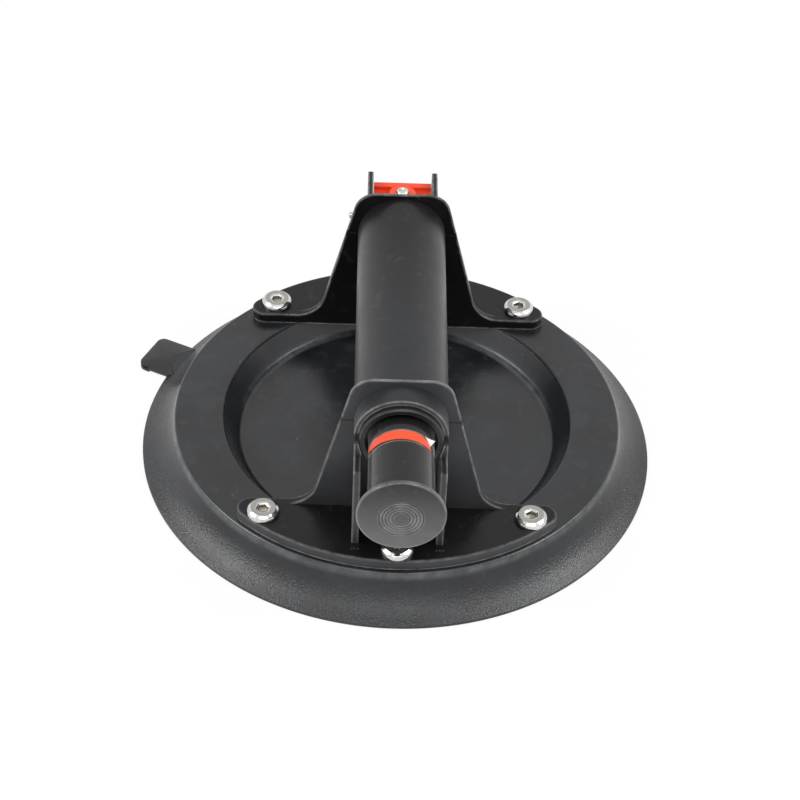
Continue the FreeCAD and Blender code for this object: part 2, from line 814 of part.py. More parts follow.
def return_spring():
    """Compression spring between the piston and the end cap."""
    start = piston_rear + spring_wire + spring_end_gap
    length = plug_front - spring_wire - spring_end_gap - start
    place = FreeCAD.Placement(V(0, start, axis_z), FreeCAD.Rotation(V(0, 0, 1), V(0, 1, 0)))
    return coil(spring_radius, spring_wire, length / spring_turns, spring_turns, place)


# ---------------------------------------------------------------- release lever
def release_lever():
    """Rocking lever: floor, thumb bar, screw boss and two cheeks round the cross screw."""
    floor_top = lever_floor_z + lever_floor
    bar_front = lever_rear - lever_bar_width
    side = [(lever_front, lever_floor_z, lever_low_round), (lever_rear, lever_floor_z, lever_low_round),
            (lever_rear, lever_top, lever_thumb_round), (bar_front, lever_top, lever_edge_round),
            (bar_front, floor_top, 0), (lever_front, floor_top, lever_edge_round)]
    lever = plate_yz(side, -lever_half_width, lever_half_width)
    lever = fused(lever, rod_z(boss_radius, lever_floor_z, lever_top, 0, boss_y),
                  rod_z(stub_radius, lever_floor_z - boss_stub, lever_floor_z, 0, boss_y))
    hub_front = pivot_y - lever_hub
    hub_rear = pivot_y + lever_hub
    hub_low = axis_z - lever_hub
    inside_floor = lever_floor_z + lever_floor / 2
    outline = [(hub_front, hub_low, hub_round), (hub_rear, hub_low, hub_round), (hub_rear, inside_floor, 0),
               (hub_front, inside_floor, 0)]
    cheek = plate_yz(outline, lever_half_width - lever_cheek, lever_half_width)
    lever = fused(lever, cheek, mirror_x(cheek))
    screw_hole = lever_screw_radius + moulded_gap
    lever = lever.cut(rod_z(screw_hole, lever_floor_z - boss_stub, lever_top, 0, boss_y))
    return lever.cut(rod_x(pivot_radius + pivot_gap, -lever_half_width, lever_half_width, pivot_y, axis_z))


def lever_screw():
    """Pan-head screw through the boss that holds the valve arm."""
    head_top = lever_top + lever_screw_head
    head = rod_z(lever_screw_head_radius, lever_top, head_top, 0, boss_y)
    head = round_edges(head, lever_screw_head / 2, lambda edge: edge.BoundBox.ZMin > head_top - 0.01)
    return fused(head, rod_z(lever_screw_radius, lever_top - lever_screw_length, lever_top, 0, boss_y))


def valve_arm():
    """Bent strip from the boss down to the valve seat, in front of the cross screw."""
    top = lever_floor_z - boss_stub
    face = cap_rear + seat_height + pad_gap + pad_thickness
    low = axis_z - seat_drop - pad_radius
    back = face + arm_thickness
    under = top - arm_thickness
    end = boss_y + stub_radius
    outline = [(face, low, arm_end_round), (back, low, arm_end_round), (back, under, arm_inner_bend),
               (end, under, 0), (end, top, 0), (face, top, arm_outer_bend)]
    arm = plate_yz(outline, -arm_half_width, arm_half_width)
    return arm.cut(rod_z(lever_screw_radius + moulded_gap, top - arm_thickness, top, 0, boss_y))


def valve_pad():
    """Rubber pad that closes the valve seat."""
    face = cap_rear + seat_height + pad_gap
    return rod_y(pad_radius, face, face + pad_thickness, 0, axis_z - seat_drop)


def pivot_screw():
    """Cross screw through the gussets, the guards and the lever."""
    head_end = gusset_outer + pivot_head
    head = rod_x(pivot_head_radius, gusset_outer, head_end, pivot_y, axis_z)
    head = round_edges(head, pivot_head_round, lambda edge: edge.BoundBox.XMin > head_end - 0.01)
    return fused(head, rod_x(pivot_radius, gusset_outer - pivot_length, gusset_outer, pivot_y, axis_z))


def pivot_nut():
    """Nut on the cross screw."""
    nut = hexagon(nut_width, V(-gusset_outer, pivot_y, axis_z), nut_thickness, V(-1, 0, 0))
    far_face = -gusset_outer - nut_thickness
    return nut.cut(rod_x(pivot_radius + thread_gap, far_face, -gusset_outer, pivot_y, axis_z))


def lever_spring():
    """Torsion spring on the cross screw: one end in the end cap, one under the lever's floor."""
    turn = FreeCAD.Rotation(V(0, 0, 1), V(1, 0, 0)).multiply(FreeCAD.Rotation(V(0, 0, 1), 270))
    wound = coil(twist_radius, twist_wire, twist_pitch, twist_turns,
                 FreeCAD.Placement(V(twist_start, pivot_y, axis_z), turn))
    root = twist_wire / 2
    lever_leg = rod_z(twist_leg, axis_z - root, lever_floor_z - stop_gap, twist_start, pivot_y - twist_radius)
    cap_leg = rod_y(twist_leg, cap_rear - twist_hook, pivot_y + root, twist_end, axis_z + twist_radius)
    return fused(wound, lever_leg, cap_leg)


# ---------------------------------------------------------------- output
NODES = {
    "rubber_cup": rubber_cup,
    "backing_ring": backing_ring,
    "threaded_inserts": threaded_inserts,
    "foot_bolts": foot_bolts,
    "handle_body": handle_body,
    "handle_shell": handle_shell,
    "pump_cylinder": pump_cylinder,
    "cylinder_end_cap": cylinder_end_cap,
    "end_cap_seal": end_cap_seal,
    "intake_flap": intake_flap,
    "intake_flap_pin": intake_flap_pin,
    "guide_bush": guide_bush,
    "outlet_elbow": outlet_elbow,
    "air_hose": air_hose,
    "pad_nipple": pad_nipple,
    "port_filter": port_filter,
    "plunger": plunger,
    "indicator_band": indicator_band,
    "piston_head": piston_head,
    "piston_seal": piston_seal,
    "exhaust_flap": exhaust_flap,
    "exhaust_flap_screw": exhaust_flap_screw,
    "return_spring": return_spring,
    "release_lever": release_lever,
    "lever_screw": lever_screw,
    "valve_arm": valve_arm,
    "valve_pad": valve_pad,
    "pivot_screw": pivot_screw,
    "pivot_nut": pivot_nut,
    "lever_spring": lever_spring,
}

os.makedirs("parts", exist_ok=True)
for name, make in NODES.items():
    shape = make()
    shape.exportStep(os.path.join("parts", name + ".step"))
    box = shape.BoundBox
    print(name, len(shape.Solids), round(shape.Volume, 1), shape.isValid(),
          [round(value, 2) for value in (box.XMin, box.YMin, box.ZMin, box.XMax, box.YMax, box.ZMax)])
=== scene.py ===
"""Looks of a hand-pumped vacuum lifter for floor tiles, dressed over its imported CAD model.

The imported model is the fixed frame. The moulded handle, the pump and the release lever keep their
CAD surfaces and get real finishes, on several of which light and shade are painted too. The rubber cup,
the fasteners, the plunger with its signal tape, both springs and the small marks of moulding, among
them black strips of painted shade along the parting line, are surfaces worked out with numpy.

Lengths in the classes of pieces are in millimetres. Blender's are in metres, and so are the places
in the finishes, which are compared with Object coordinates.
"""

from __future__ import annotations

import logging
import math
from collections.abc import Sequence
from dataclasses import dataclass
from enum import Enum
from functools import cache

import bmesh
import bpy
import numpy as np
from mathutils import Matrix, Vector


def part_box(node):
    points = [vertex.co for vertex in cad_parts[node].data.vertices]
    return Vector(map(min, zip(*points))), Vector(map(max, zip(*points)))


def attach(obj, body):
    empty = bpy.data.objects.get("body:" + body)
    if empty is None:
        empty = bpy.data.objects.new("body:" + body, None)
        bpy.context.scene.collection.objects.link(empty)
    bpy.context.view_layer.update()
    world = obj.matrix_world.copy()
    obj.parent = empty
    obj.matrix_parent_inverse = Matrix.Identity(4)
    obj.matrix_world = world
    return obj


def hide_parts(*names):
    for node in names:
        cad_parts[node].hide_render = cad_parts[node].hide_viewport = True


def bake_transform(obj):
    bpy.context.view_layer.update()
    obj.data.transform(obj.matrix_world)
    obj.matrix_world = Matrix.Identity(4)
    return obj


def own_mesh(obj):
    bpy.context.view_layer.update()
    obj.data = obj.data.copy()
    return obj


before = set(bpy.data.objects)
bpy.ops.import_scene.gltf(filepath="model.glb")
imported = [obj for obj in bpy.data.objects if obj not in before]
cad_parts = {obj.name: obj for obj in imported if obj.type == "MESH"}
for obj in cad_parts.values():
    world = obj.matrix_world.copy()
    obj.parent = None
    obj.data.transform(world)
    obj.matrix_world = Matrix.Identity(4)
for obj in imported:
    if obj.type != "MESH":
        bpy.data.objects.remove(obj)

MM = 0.001
PUMP_AXIS_Z = 65.8  # height of the pump's axis over the tile, where the handle's two mouldings part too
PIVOT_Y = 69.5  # place of the lever's pivot along the pump
Array = np.ndarray
Corner = tuple[float, float, float]
Tree = bpy.types.NodeTree
Socket = bpy.types.NodeSocket
Share = Socket | tuple[Socket, float, float] | tuple[Socket, float, float, float]
log = logging.getLogger("tile_lifter")


class Body(Enum):
    """The moving bodies of the lifter."""

    HANDLE = "handle"
    PLUNGER = "plunger"
    LEVER = "lever"


# ---------------------------------------------------------------- surfaces
@dataclass(frozen=True)
class Axis:
    """A place and two square directions that a turned shape is built on.

    A point of radius r, turn t and height h is origin + r (cos t right + sin t up) + h along,
    where up = along x right.
    """

    origin: tuple[float, float, float]
    along: tuple[float, float, float] = (0.0, 0.0, 1.0)
    right: tuple[float, float, float] = (1.0, 0.0, 0.0)

    def place(self, radius: Array, turn: Array, height: Array) -> Array:
        """Points in space from cylindrical coordinates.

        Args:
            radius: Distances from the axis in mm.
            turn: Angles round the axis in radians.
            height: Distances along the axis in mm.

        Returns:
            Points, with one more dimension of length 3 than the inputs.
        """
        along, right = np.array(self.along), np.array(self.right)
        up = np.cross(along, right)
        radius, turn, height = np.broadcast_arrays(radius, turn, height)
        return (np.array(self.origin) + (radius * np.cos(turn))[..., None] * right
                + (radius * np.sin(turn))[..., None] * up + height[..., None] * along)


PUMP_AXIS = Axis((0, 0, PUMP_AXIS_Z), (0, 1, 0), (0, 0, 1))  # heights along it are places along Y


@dataclass(frozen=True)
class Patch:
    """A grid of points that makes one surface.

    Attributes:
        points: Rows by columns by 3, in mm.
        wrap_rows: True if the last row joins the first.
        wrap_columns: True if the last column joins the first.
    """

    points: Array
    wrap_rows: bool = False
    wrap_columns: bool = True

    def quads(self) -> tuple[Array, Array]:
        """Faces of the grid and their places on the unrolled surface.

        Quad (i, j) joins (i, j), (i+1, j), (i+1, j+1) and (i, j+1), with indices taken round where
        the grid wraps. Its UV is the share of the way round and the length run along the rows in mm.

        Returns:
            Vertex indices, n by 4, and UVs, n by 4 by 2.
        """
        rows, columns = self.points.shape[:2]
        i, j = np.meshgrid(np.arange(rows - (not self.wrap_rows)), np.arange(columns - (not self.wrap_columns)),
                           indexing="ij")
        corner_i = np.stack([i, i + 1, i + 1, i], -1).reshape(-1, 4)
        corner_j = np.stack([j, j, j + 1, j + 1], -1).reshape(-1, 4)
        faces = (corner_i % rows) * columns + corner_j % columns
        steps = np.linalg.norm(np.diff(self.points, axis=0), axis=-1).mean(axis=1)
        run = np.concatenate([[0.0], np.cumsum(steps), [steps.sum() + steps.mean()]])
        return faces, np.stack([corner_j / columns, run[corner_i]], -1)


def rounded(corners: Sequence[Corner], closed: bool = False, step: float = 9.0) -> Array:
    """Profile through corners, each turned by an arc of its own radius.

    At corner P with unit directions a and b to its neighbours and half angle h between them, the
    arc's centre is P + (a + b)/|a + b| * r / sin h, and it runs from P + a r / tan h to
    P + b r / tan h.

    Args:
        corners: (u, v, radius) of each corner in mm.
        closed: True if the last corner joins the first.
        step: Turn between points of an arc, in degrees.

    Returns:
        Points of the profile, n by 2.
    """
    runs: list[Array] = []
    last = len(corners) - 1
    for index, (u, v, radius) in enumerate(corners):
        corner = np.array([u, v])
        if radius <= 0 or (not closed and index in (0, last)):
            runs.append(corner[None])
            continue
        a = np.array(corners[index - 1][:2]) - corner
        b = np.array(corners[(index + 1) % len(corners)][:2]) - corner
        a, b = a / np.linalg.norm(a), b / np.linalg.norm(b)
        half = math.acos(float(np.clip(a @ b, -1, 1))) / 2
        centre = corner + (a + b) / np.linalg.norm(a + b) * radius / math.sin(half)
        start, end = corner + a * radius / math.tan(half), corner + b * radius / math.tan(half)
        first = math.atan2(*(start - centre)[::-1])
        sweep = (math.atan2(*(end - centre)[::-1]) - first + math.pi) % (2 * math.pi) - math.pi
        count = max(3, int(abs(math.degrees(sweep)) / step) + 2)
        turn = first + np.linspace(0, sweep, count)
        runs.append(centre + radius * np.stack([np.cos(turn), np.sin(turn)], -1))
    return np.concatenate(runs)


def refined(profile: Array, longest: float) -> Array:
    """Profile with its long runs divided evenly.

    Args:
        profile: Points, n by 2.
        longest: Longest step to leave, in mm.

    Returns:
        Points, of which none is further than longest from the next.
    """
    lengths = np.linalg.norm(np.diff(profile, axis=0), axis=1)
    parts = [a + (b - a) * np.arange(count)[:, None] / count
             for a, b, count in zip(profile[:-1], profile[1:], np.maximum(1, np.ceil(lengths / longest)).astype(int))]
    return np.concatenate([*parts, profile[-1:]])


def full_turn(count: int = 96) -> Array:
    """Angles of count even steps round a circle, in radians."""
    return np.linspace(0, 2 * np.pi, count, endpoint=False)


def turned(profile: Array, axis: Axis, around: int = 96) -> Patch:
    """Surface of revolution: point (i, t) is the axis's place for radius u_i, turn t and height v_i."""
    return Patch(axis.place(profile[:, :1], full_turn(around)[None], profile[:, 1:]))


def ringed(rows: Sequence[tuple[Array | float, Array | float]], turn: Array, axis: Axis,
           wrap_rows: bool = False) -> Patch:
    """Surface of rings: point (k, t) is the axis's place for radius rows[k][0], turn t and height rows[k][1]."""
    radius, height = (np.stack([np.broadcast_to(row[part], turn.shape) for row in rows]) for part in (0, 1))
    return Patch(axis.place(radius, turn[None], height), wrap_rows=wrap_rows)


def polygon_radius(turn: Array, across: float, sides: int) -> Array:
    """Distance from a regular polygon's centre to its side: (across / 2) / cos(t - nearest side's middle)."""
    pitch = 2 * np.pi / sides
    return across / 2 / np.cos((turn + pitch / 2) % pitch - pitch / 2)


def cross_radius(turn: Array, arm: float, width: float) -> Array:
    """Distance to the edge of a four-armed cross: the nearer of its arm's end and its arm's side.

    With t measured from the nearest arm, the end is at arm / cos t and the side at (width / 2) / |sin t|.

    Args:
        turn: Angles in radians.
        arm: Length of an arm in mm.
        width: Width of an arm in mm.

    Returns:
        Distances in mm.
    """
    from_arm = (turn + np.pi / 4) % (np.pi / 2) - np.pi / 4
    side = width / 2 / np.maximum(np.abs(np.sin(from_arm)), 1e-6)
    return np.minimum(arm / np.cos(from_arm), side)


def stacked(outline: Array, section: Sequence[tuple[float, float]]) -> Patch:
    """Plate built from insets of one plan outline.

    Row k is the outline moved inwards by section[k][0] and lifted to section[k][1]. Two more rows
    at the outline's middle close the plate below and above.

    Args:
        outline: Closed plan, anticlockwise, n by 2.
        section: (inset, height) of each row, from the underside round the edge to the top.

    Returns:
        The closed surface.
    """
    before, after = np.roll(outline, 1, axis=0), np.roll(outline, -1, axis=0)
    tangent = after - before
    inward = np.stack([-tangent[:, 1], tangent[:, 0]], -1) / np.linalg.norm(tangent, axis=1)[:, None]
    rows = [np.column_stack([outline + inward * inset, np.full(len(outline), height)]) for inset, height in section]
    for row, (_, height) in ((0, section[0]), (len(rows) + 1, section[-1])):
        rows.insert(row, np.tile([*outline.mean(axis=0), height], (len(outline), 1)))
    return Patch(np.stack(rows))


def capped(points: Array) -> Patch:
    """Surface whose first and last rows are each closed by a row at their middle."""
    ends = [np.broadcast_to(points[row].mean(axis=0), points[row].shape)[None] for row in (0, -1)]
    return Patch(np.concatenate([ends[0], points, ends[1]]))


def tube_along(path: Array, radius: float, sides: int = 12) -> Patch:
    """Round wire along a path, with closed ends.

    Each ring is centred on a path point and lies across the path's direction d: it is
    p + r (cos t n + sin t d x n), where n starts square to d and is carried along by taking from it
    its part along the next d. The end rings shrink onto the path in a quarter circle.

    Args:
        path: Middle of the wire, n by 3, in mm.
        radius: Radius of the wire in mm.
        sides: Points round the wire.

    Returns:
        The surface.
    """
    direction = np.gradient(path, axis=0)
    direction /= np.linalg.norm(direction, axis=1)[:, None]
    normal = np.empty_like(direction)
    guide = np.cross(direction[0], [0.31, 0.59, 0.75])
    for index, d in enumerate(direction):  # one step for each ring, not for each point of it
        guide = guide - d * (guide @ d)
        guide /= np.linalg.norm(guide)
        normal[index] = guide
    cap = np.linspace(0, np.pi / 2, 4)
    size = np.concatenate([np.sin(cap), np.ones(len(path)), np.cos(cap)]) * radius
    slide = np.concatenate([-np.cos(cap), np.zeros(len(path)), np.sin(cap)]) * radius
    index = np.concatenate([np.zeros(4, int), np.arange(len(path)), np.full(4, len(path) - 1)])
    turn = full_turn(sides)
    across = (np.cos(turn)[None, :, None] * normal[index][:, None]
              + np.sin(turn)[None, :, None] * np.cross(direction, normal)[index][:, None])
    return Patch(path[index][:, None] + slide[:, None, None] * direction[index][:, None]
                 + size[:, None, None] * across)


def piece(name: str, patches: Sequence[Patch], finish: Finish, body: Body | None,
          stands_for: Sequence[str] = (), sharp: float = 32.0) -> bpy.types.Object:
    """Object made of one or more surfaces, with its finish, riding on its body.

    Args:
        name: Name of the piece.
        patches: Its surfaces.
        finish: What it is made of.
        body: The body it moves with, or None for a piece that lies between two and rides on neither.
        stands_for: CAD nodes that it replaces.
        sharp: Angle in degrees above which an edge stays sharp.

    Returns:
        The object, at the origin.
    """
    points, faces, uvs, start = [], [], [], 0
    for patch in patches:
        quads, uv = patch.quads()
        points.append(patch.points.reshape(-1, 3) * MM)
        faces.append(quads + start)
        uvs.append(uv.reshape(-1, 2))
        start += len(points[-1])
    mesh = bpy.data.meshes.new(name)
    mesh.from_pydata(np.concatenate(points).tolist(), [], np.concatenate(faces).tolist())
    mesh.uv_layers.new(name="unrolled").data.foreach_set("uv", np.concatenate(uvs).astype(np.float32).ravel())
    build = bmesh.new()
    build.from_mesh(mesh)
    bmesh.ops.remove_doubles(build, verts=build.verts, dist=2e-7)
    bmesh.ops.recalc_face_normals(build, faces=build.faces)
    build.to_mesh(mesh)
    build.free()
    mesh.shade_smooth()
    mesh.set_sharp_from_angle(angle=math.radians(sharp))
    made = bpy.data.objects.new(name, mesh)
    bpy.context.scene.collection.objects.link(made)
    mesh.materials.append(finish.material())
    if body:
        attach(made, body.value)
    if stands_for:
        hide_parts(*stands_for)
    log.info("%s: %d faces on %s", name, len(mesh.polygons), body.value if body else "two bodies")
    return made


# ---------------------------------------------------------------- finishes
def linear(code: str) -> tuple[float, float, float, float]:
    """Linear colour of an sRGB hex code: c / 12.92 up to 0.04045, and ((c + 0.055) / 1.055)^2.4 above."""
    parts = [int(code[i:i + 2], 16) / 255 for i in (1, 3, 5)]
    return (*[c / 12.92 if c <= 0.04045 else ((c + 0.055) / 1.055) ** 2.4 for c in parts], 1.0)


def add(tree: Tree, kind: str, inputs: dict[str | int, object] | None = None, **settings: object) -> bpy.types.Node:
    """Adds a node to a tree.

    Args:
        tree: The node tree.
        kind: Type of the node, without its ShaderNode prefix.
        inputs: For each input's name or index, a value, or another node's output to link.
        settings: Properties of the node.

    Returns:
        The node.
    """
    made = tree.nodes.new("ShaderNode" + kind)
    for key, value in settings.items():
        setattr(made, key, value)
    for key, value in (inputs or {}).items():
        if isinstance(value, Socket):
            tree.links.new(value, made.inputs[key])
        else:
            made.inputs[key].default_value = value
    return made


@dataclass(frozen=True)
class Finish:
    """Base of the finishes: one Blender material for each, made once and named by its label.

    Attributes:
        label: Name of the material.
        dark: Colour of its darker patches.
        light: Colour of its lighter patches.
        roughness: Middle of the roughness.
        patch_mm: Width of the colour's patches.
        grain_mm: Width of the grain.
        grain_depth: Depth of the grain in millimetres.
    """

    label: str
    dark: str
    light: str
    roughness: float
    patch_mm: float
    grain_mm: float
    grain_depth: float

    @cache
    def material(self) -> bpy.types.Material:
        """Makes the Blender material of this finish, the first time that it is asked for.

        Returns:
            The material.
        """
        made = bpy.data.materials.new(self.label)
        made.use_nodes = True
        made.node_tree.nodes.clear()
        add(made.node_tree, "OutputMaterial", {"Surface": self.shader(made.node_tree).outputs[0]})
        return made

    def shader(self, tree: Tree) -> bpy.types.Node:
        """Builds the nodes in the material's empty tree and gives the shader that the output takes."""
        raise NotImplementedError


def patches_of(tree: Tree, coords: Socket, size_mm: float, low: float | str, high: float | str,
               detail: float = 3.0) -> Socket:
    """Soft patches between two values or two colours.

    Noise of one wave for each size_mm, spread from its usual 0.3 to 0.7 onto low to high.

    Args:
        tree: The node tree.
        coords: Coordinates in metres.
        size_mm: Width of a patch.
        low: Value or colour of the dark patches.
        high: Value or colour of the light patches.
        detail: Octaves of the noise.

    Returns:
        The socket with the value or the colour.
    """
    noise = add(tree, "TexNoise", {"Vector": coords, "Scale": 1 / (size_mm * MM), "Detail": detail})
    if isinstance(low, str):
        share = add(tree, "MapRange", {"Value": noise.outputs[0], "From Min": 0.3, "From Max": 0.7})
        return add(tree, "Mix", {0: share.outputs[0], 6: linear(low), 7: linear(high)}, data_type="RGBA").outputs[2]
    return add(tree, "MapRange", {"Value": noise.outputs[0], "From Min": 0.3, "From Max": 0.7, "To Min": low,
                                  "To Max": high}).outputs[0]


def overlap(tree: Tree, *shares: Share) -> Socket:
    """Share that is high where all the given shares are: their product.

    Args:
        tree: The node tree.
        shares: Sockets, or (socket, start, end) or (socket, start, end, top) for a share that grows smoothly
            from 0 where the socket's value is start to top, or 1, where it is end. Start may be the larger.

    Returns:
        The socket with the product.
    """
    whole = None
    for share in shares:
        if isinstance(share, tuple):
            value, start, end, *top = share
            share = add(tree, "MapRange", {"Value": value, "From Min": start, "From Max": end,
                                           "To Max": top[0] if top else 1.0},
                        interpolation_type="SMOOTHSTEP").outputs[0]
        whole = share if whole is None else add(tree, "Math", {0: whole, 1: share}, operation="MULTIPLY").outputs[0]
    return whole


def laid_on(tree: Tree, base: Socket, over: str, *shares: Share) -> Socket:
    """Colour base, with the hex colour over laid on it where the shares overlap."""
    return add(tree, "Mix", {0: overlap(tree, *shares), 6: base, 7: linear(over)}, data_type="RGBA").outputs[2]


@dataclass(frozen=True)
class Moulded(Finish):
    """Base of the moulded finishes, whose gloss drifts and on which dust settles.

    Attributes:
        gloss_mm: Width of the patches in which the roughness drifts.
        dust: Share of the dust cells with a speck.
        dust_cell_mm: Width of a dust cell.
        speck_mm: Width of a speck, drawn wider than the real 0.1 mm so that it shows.
        dust_colour: Colour of the specks.
    """

    gloss_mm: float
    dust: float
    dust_cell_mm: float
    speck_mm: float
    dust_colour: str

    def dusted(self, tree: Tree, coords: Socket, base: Socket) -> Socket:
        """Lays specks of dust on a colour, one in the middle of each of a few cells.

        Args:
            tree: The node tree.
            coords: Coordinates in metres.
            base: The colour so far.

        Returns:
            The socket with the colour.
        """
        if not self.dust:
            return base
        cells = add(tree, "TexVoronoi", {"Vector": coords, "Scale": 1 / (self.dust_cell_mm * MM), "Randomness": 1.0})
        few = add(tree, "Math", {0: cells.outputs["Color"], 1: 1 - self.dust}, operation="GREATER_THAN")
        half = self.speck_mm / self.dust_cell_mm / 2
        return laid_on(tree, base, self.dust_colour, (cells.outputs["Distance"], half * 1.3, half * 0.7),
                       few.outputs[0])


@dataclass(frozen=True)
class MouldedPlastic(Moulded):
    """Injection-moulded plastic in one colour: spark-eroded grain, flow patches, rub marks and dust, with painted
    light: highlights on its corners, a paler band by height and paler upright walls.

    Attributes:
        ior: Refractive index.
        specular: Strength of the mirror part, where 0.5 is that of a fresh, smooth face.
        sheen: Weight of the soft glow at grazing angles.
        edge: Colour of the highlight painted on corners, or empty for none.
        edge_reach_mm: How far from a corner the highlight is painted.
        edge_patch_mm: Width of the patches in which the highlight is painted more or less.
        scuffs: How strong the rub marks are.
        scuff_mm: Width of the rub marks' widest clouds.
        scuff_colour: Colour of the rub marks.
        seam_without_highlight: Height in metres of a parting line, along whose corners no highlight is painted.
        seam_highlight_gap: How far above and below that line it is left out, in metres.
        upright: Colour of painted light on upright walls, or empty for none.
        upright_front: Only what lies further forward than this y gets it.
        upright_mm: Width of the patches in which it is painted more or less.
        painted_height_light: Colour of painted light laid on by height, or empty for none.
        painted_height_from: Height in metres where that painted light starts.
        painted_height_to: Height where it is whole.
        painted_height_front: Only what lies further forward than this y gets it.
        painted_height_fade: Length in metres over which the painted light grows from there.
        painted_height_mm: Width of the patches in which it is painted more or less.
    """

    roughness: float = 0.34
    patch_mm: float = 30.0  # flow patches
    grain_mm: float = 0.45  # the mould's grain, drawn coarser than the real 0.1 mm so that it shows
    grain_depth: float = 0.02
    gloss_mm: float = 12.0
    dust: float = 0.0
    dust_cell_mm: float = 6.0
    speck_mm: float = 0.35
    dust_colour: str = "#77776f"
    ior: float = 1.5
    specular: float = 0.5
    sheen: float = 0.0
    edge: str = ""
    edge_reach_mm: float = 0.9
    edge_patch_mm: float = 4.0
    scuffs: float = 0.0
    scuff_mm: float = 7.0
    scuff_colour: str = "#55575b"
    seam_without_highlight: float = -1.0
    seam_highlight_gap: float = 0.0012
    upright: str = ""
    upright_front: float = 1.0
    upright_mm: float = 16.0
    painted_height_light: str = ""
    painted_height_from: float = 0.0
    painted_height_to: float = 0.0
    painted_height_front: float = 1.0
    painted_height_fade: float = 0.0006
    painted_height_mm: float = 9.0

    def shader(self, tree: Tree) -> bpy.types.Node:
        """Lays painted light by height and on upright walls, rub marks, painted highlights on corners and dust on the
        drifting colour, with the grain as a bump.

        Args:
            tree: The material's empty node tree.

        Returns:
            The shader node that the output takes.
        """
        surface = add(tree, "TexCoord")
        coords = surface.outputs["Object"]
        grain = add(tree, "TexNoise", {"Vector": coords, "Scale": 1 / (self.grain_mm * MM), "Detail": 2.0})
        bump = add(tree, "Bump", {"Height": grain.outputs[0], "Strength": 0.35, "Distance": self.grain_depth * MM})
        base = patches_of(tree, coords, self.patch_mm, self.dark, self.light)
        place = add(tree, "SeparateXYZ", {0: coords})
        along, height = place.outputs[1], place.outputs[2]
        # painted light: a paler colour laid on by height, only towards the front
        if self.painted_height_light:
            base = laid_on(tree, base, self.painted_height_light, (height, self.painted_height_from, self.painted_height_to),
                           patches_of(tree, coords, self.painted_height_mm, 0.8, 1.0, detail=4.0),
                           (along, self.painted_height_front, self.painted_height_front - self.painted_height_fade))
        # painted light: upright walls paler, only further forward than a given y
        if self.upright:
            facing = add(tree, "SeparateXYZ", {0: surface.outputs["Normal"]}).outputs[2]
            level = add(tree, "Math", {0: facing}, operation="ABSOLUTE").outputs[0]
            base = laid_on(tree, base, self.upright, (level, 0.9, 0.15),
                           patches_of(tree, coords, self.upright_mm, 0.7, 1.0, detail=4.0),
                           (along, self.upright_front, self.upright_front - 0.001))
        if self.scuffs:
            marks = add(tree, "TexNoise", {"Vector": coords, "Scale": 1 / (self.scuff_mm * MM), "Detail": 7.0,
                                           "Roughness": 0.7, "Distortion": 0.8})
            base = laid_on(tree, base, self.scuff_colour, (marks.outputs[0], 0.54, 0.76, self.scuffs))
        # painted highlight: corners paler, except along the parting line
        if self.edge:
            above = add(tree, "Math", {0: height, 1: self.seam_without_highlight}, operation="SUBTRACT").outputs[0]
            away = add(tree, "Math", {0: above}, operation="ABSOLUTE").outputs[0]
            # inward rays meet the other face near a corner, so that what they see falls from 1 to about 0.6
            seen = add(tree, "AmbientOcclusion", {"Distance": self.edge_reach_mm * MM}, samples=6, inside=True,
                       only_local=True)
            base = laid_on(tree, base, self.edge, (seen.outputs["AO"], 0.94, 0.62),
                           patches_of(tree, coords, self.edge_patch_mm, 0.2, 1.0, detail=4.0),
                           (away, self.seam_highlight_gap, self.seam_highlight_gap + 0.0004))
        return add(tree, "BsdfPrincipled", {
            "Base Color": self.dusted(tree, coords, base),
            "Roughness": patches_of(tree, coords, self.gloss_mm, self.roughness - 0.04, self.roughness + 0.05),
            "IOR": self.ior, "Specular IOR Level": self.specular, "Sheen Weight": self.sheen,
            "Sheen Roughness": 0.35, "Normal": bump.outputs[0]})


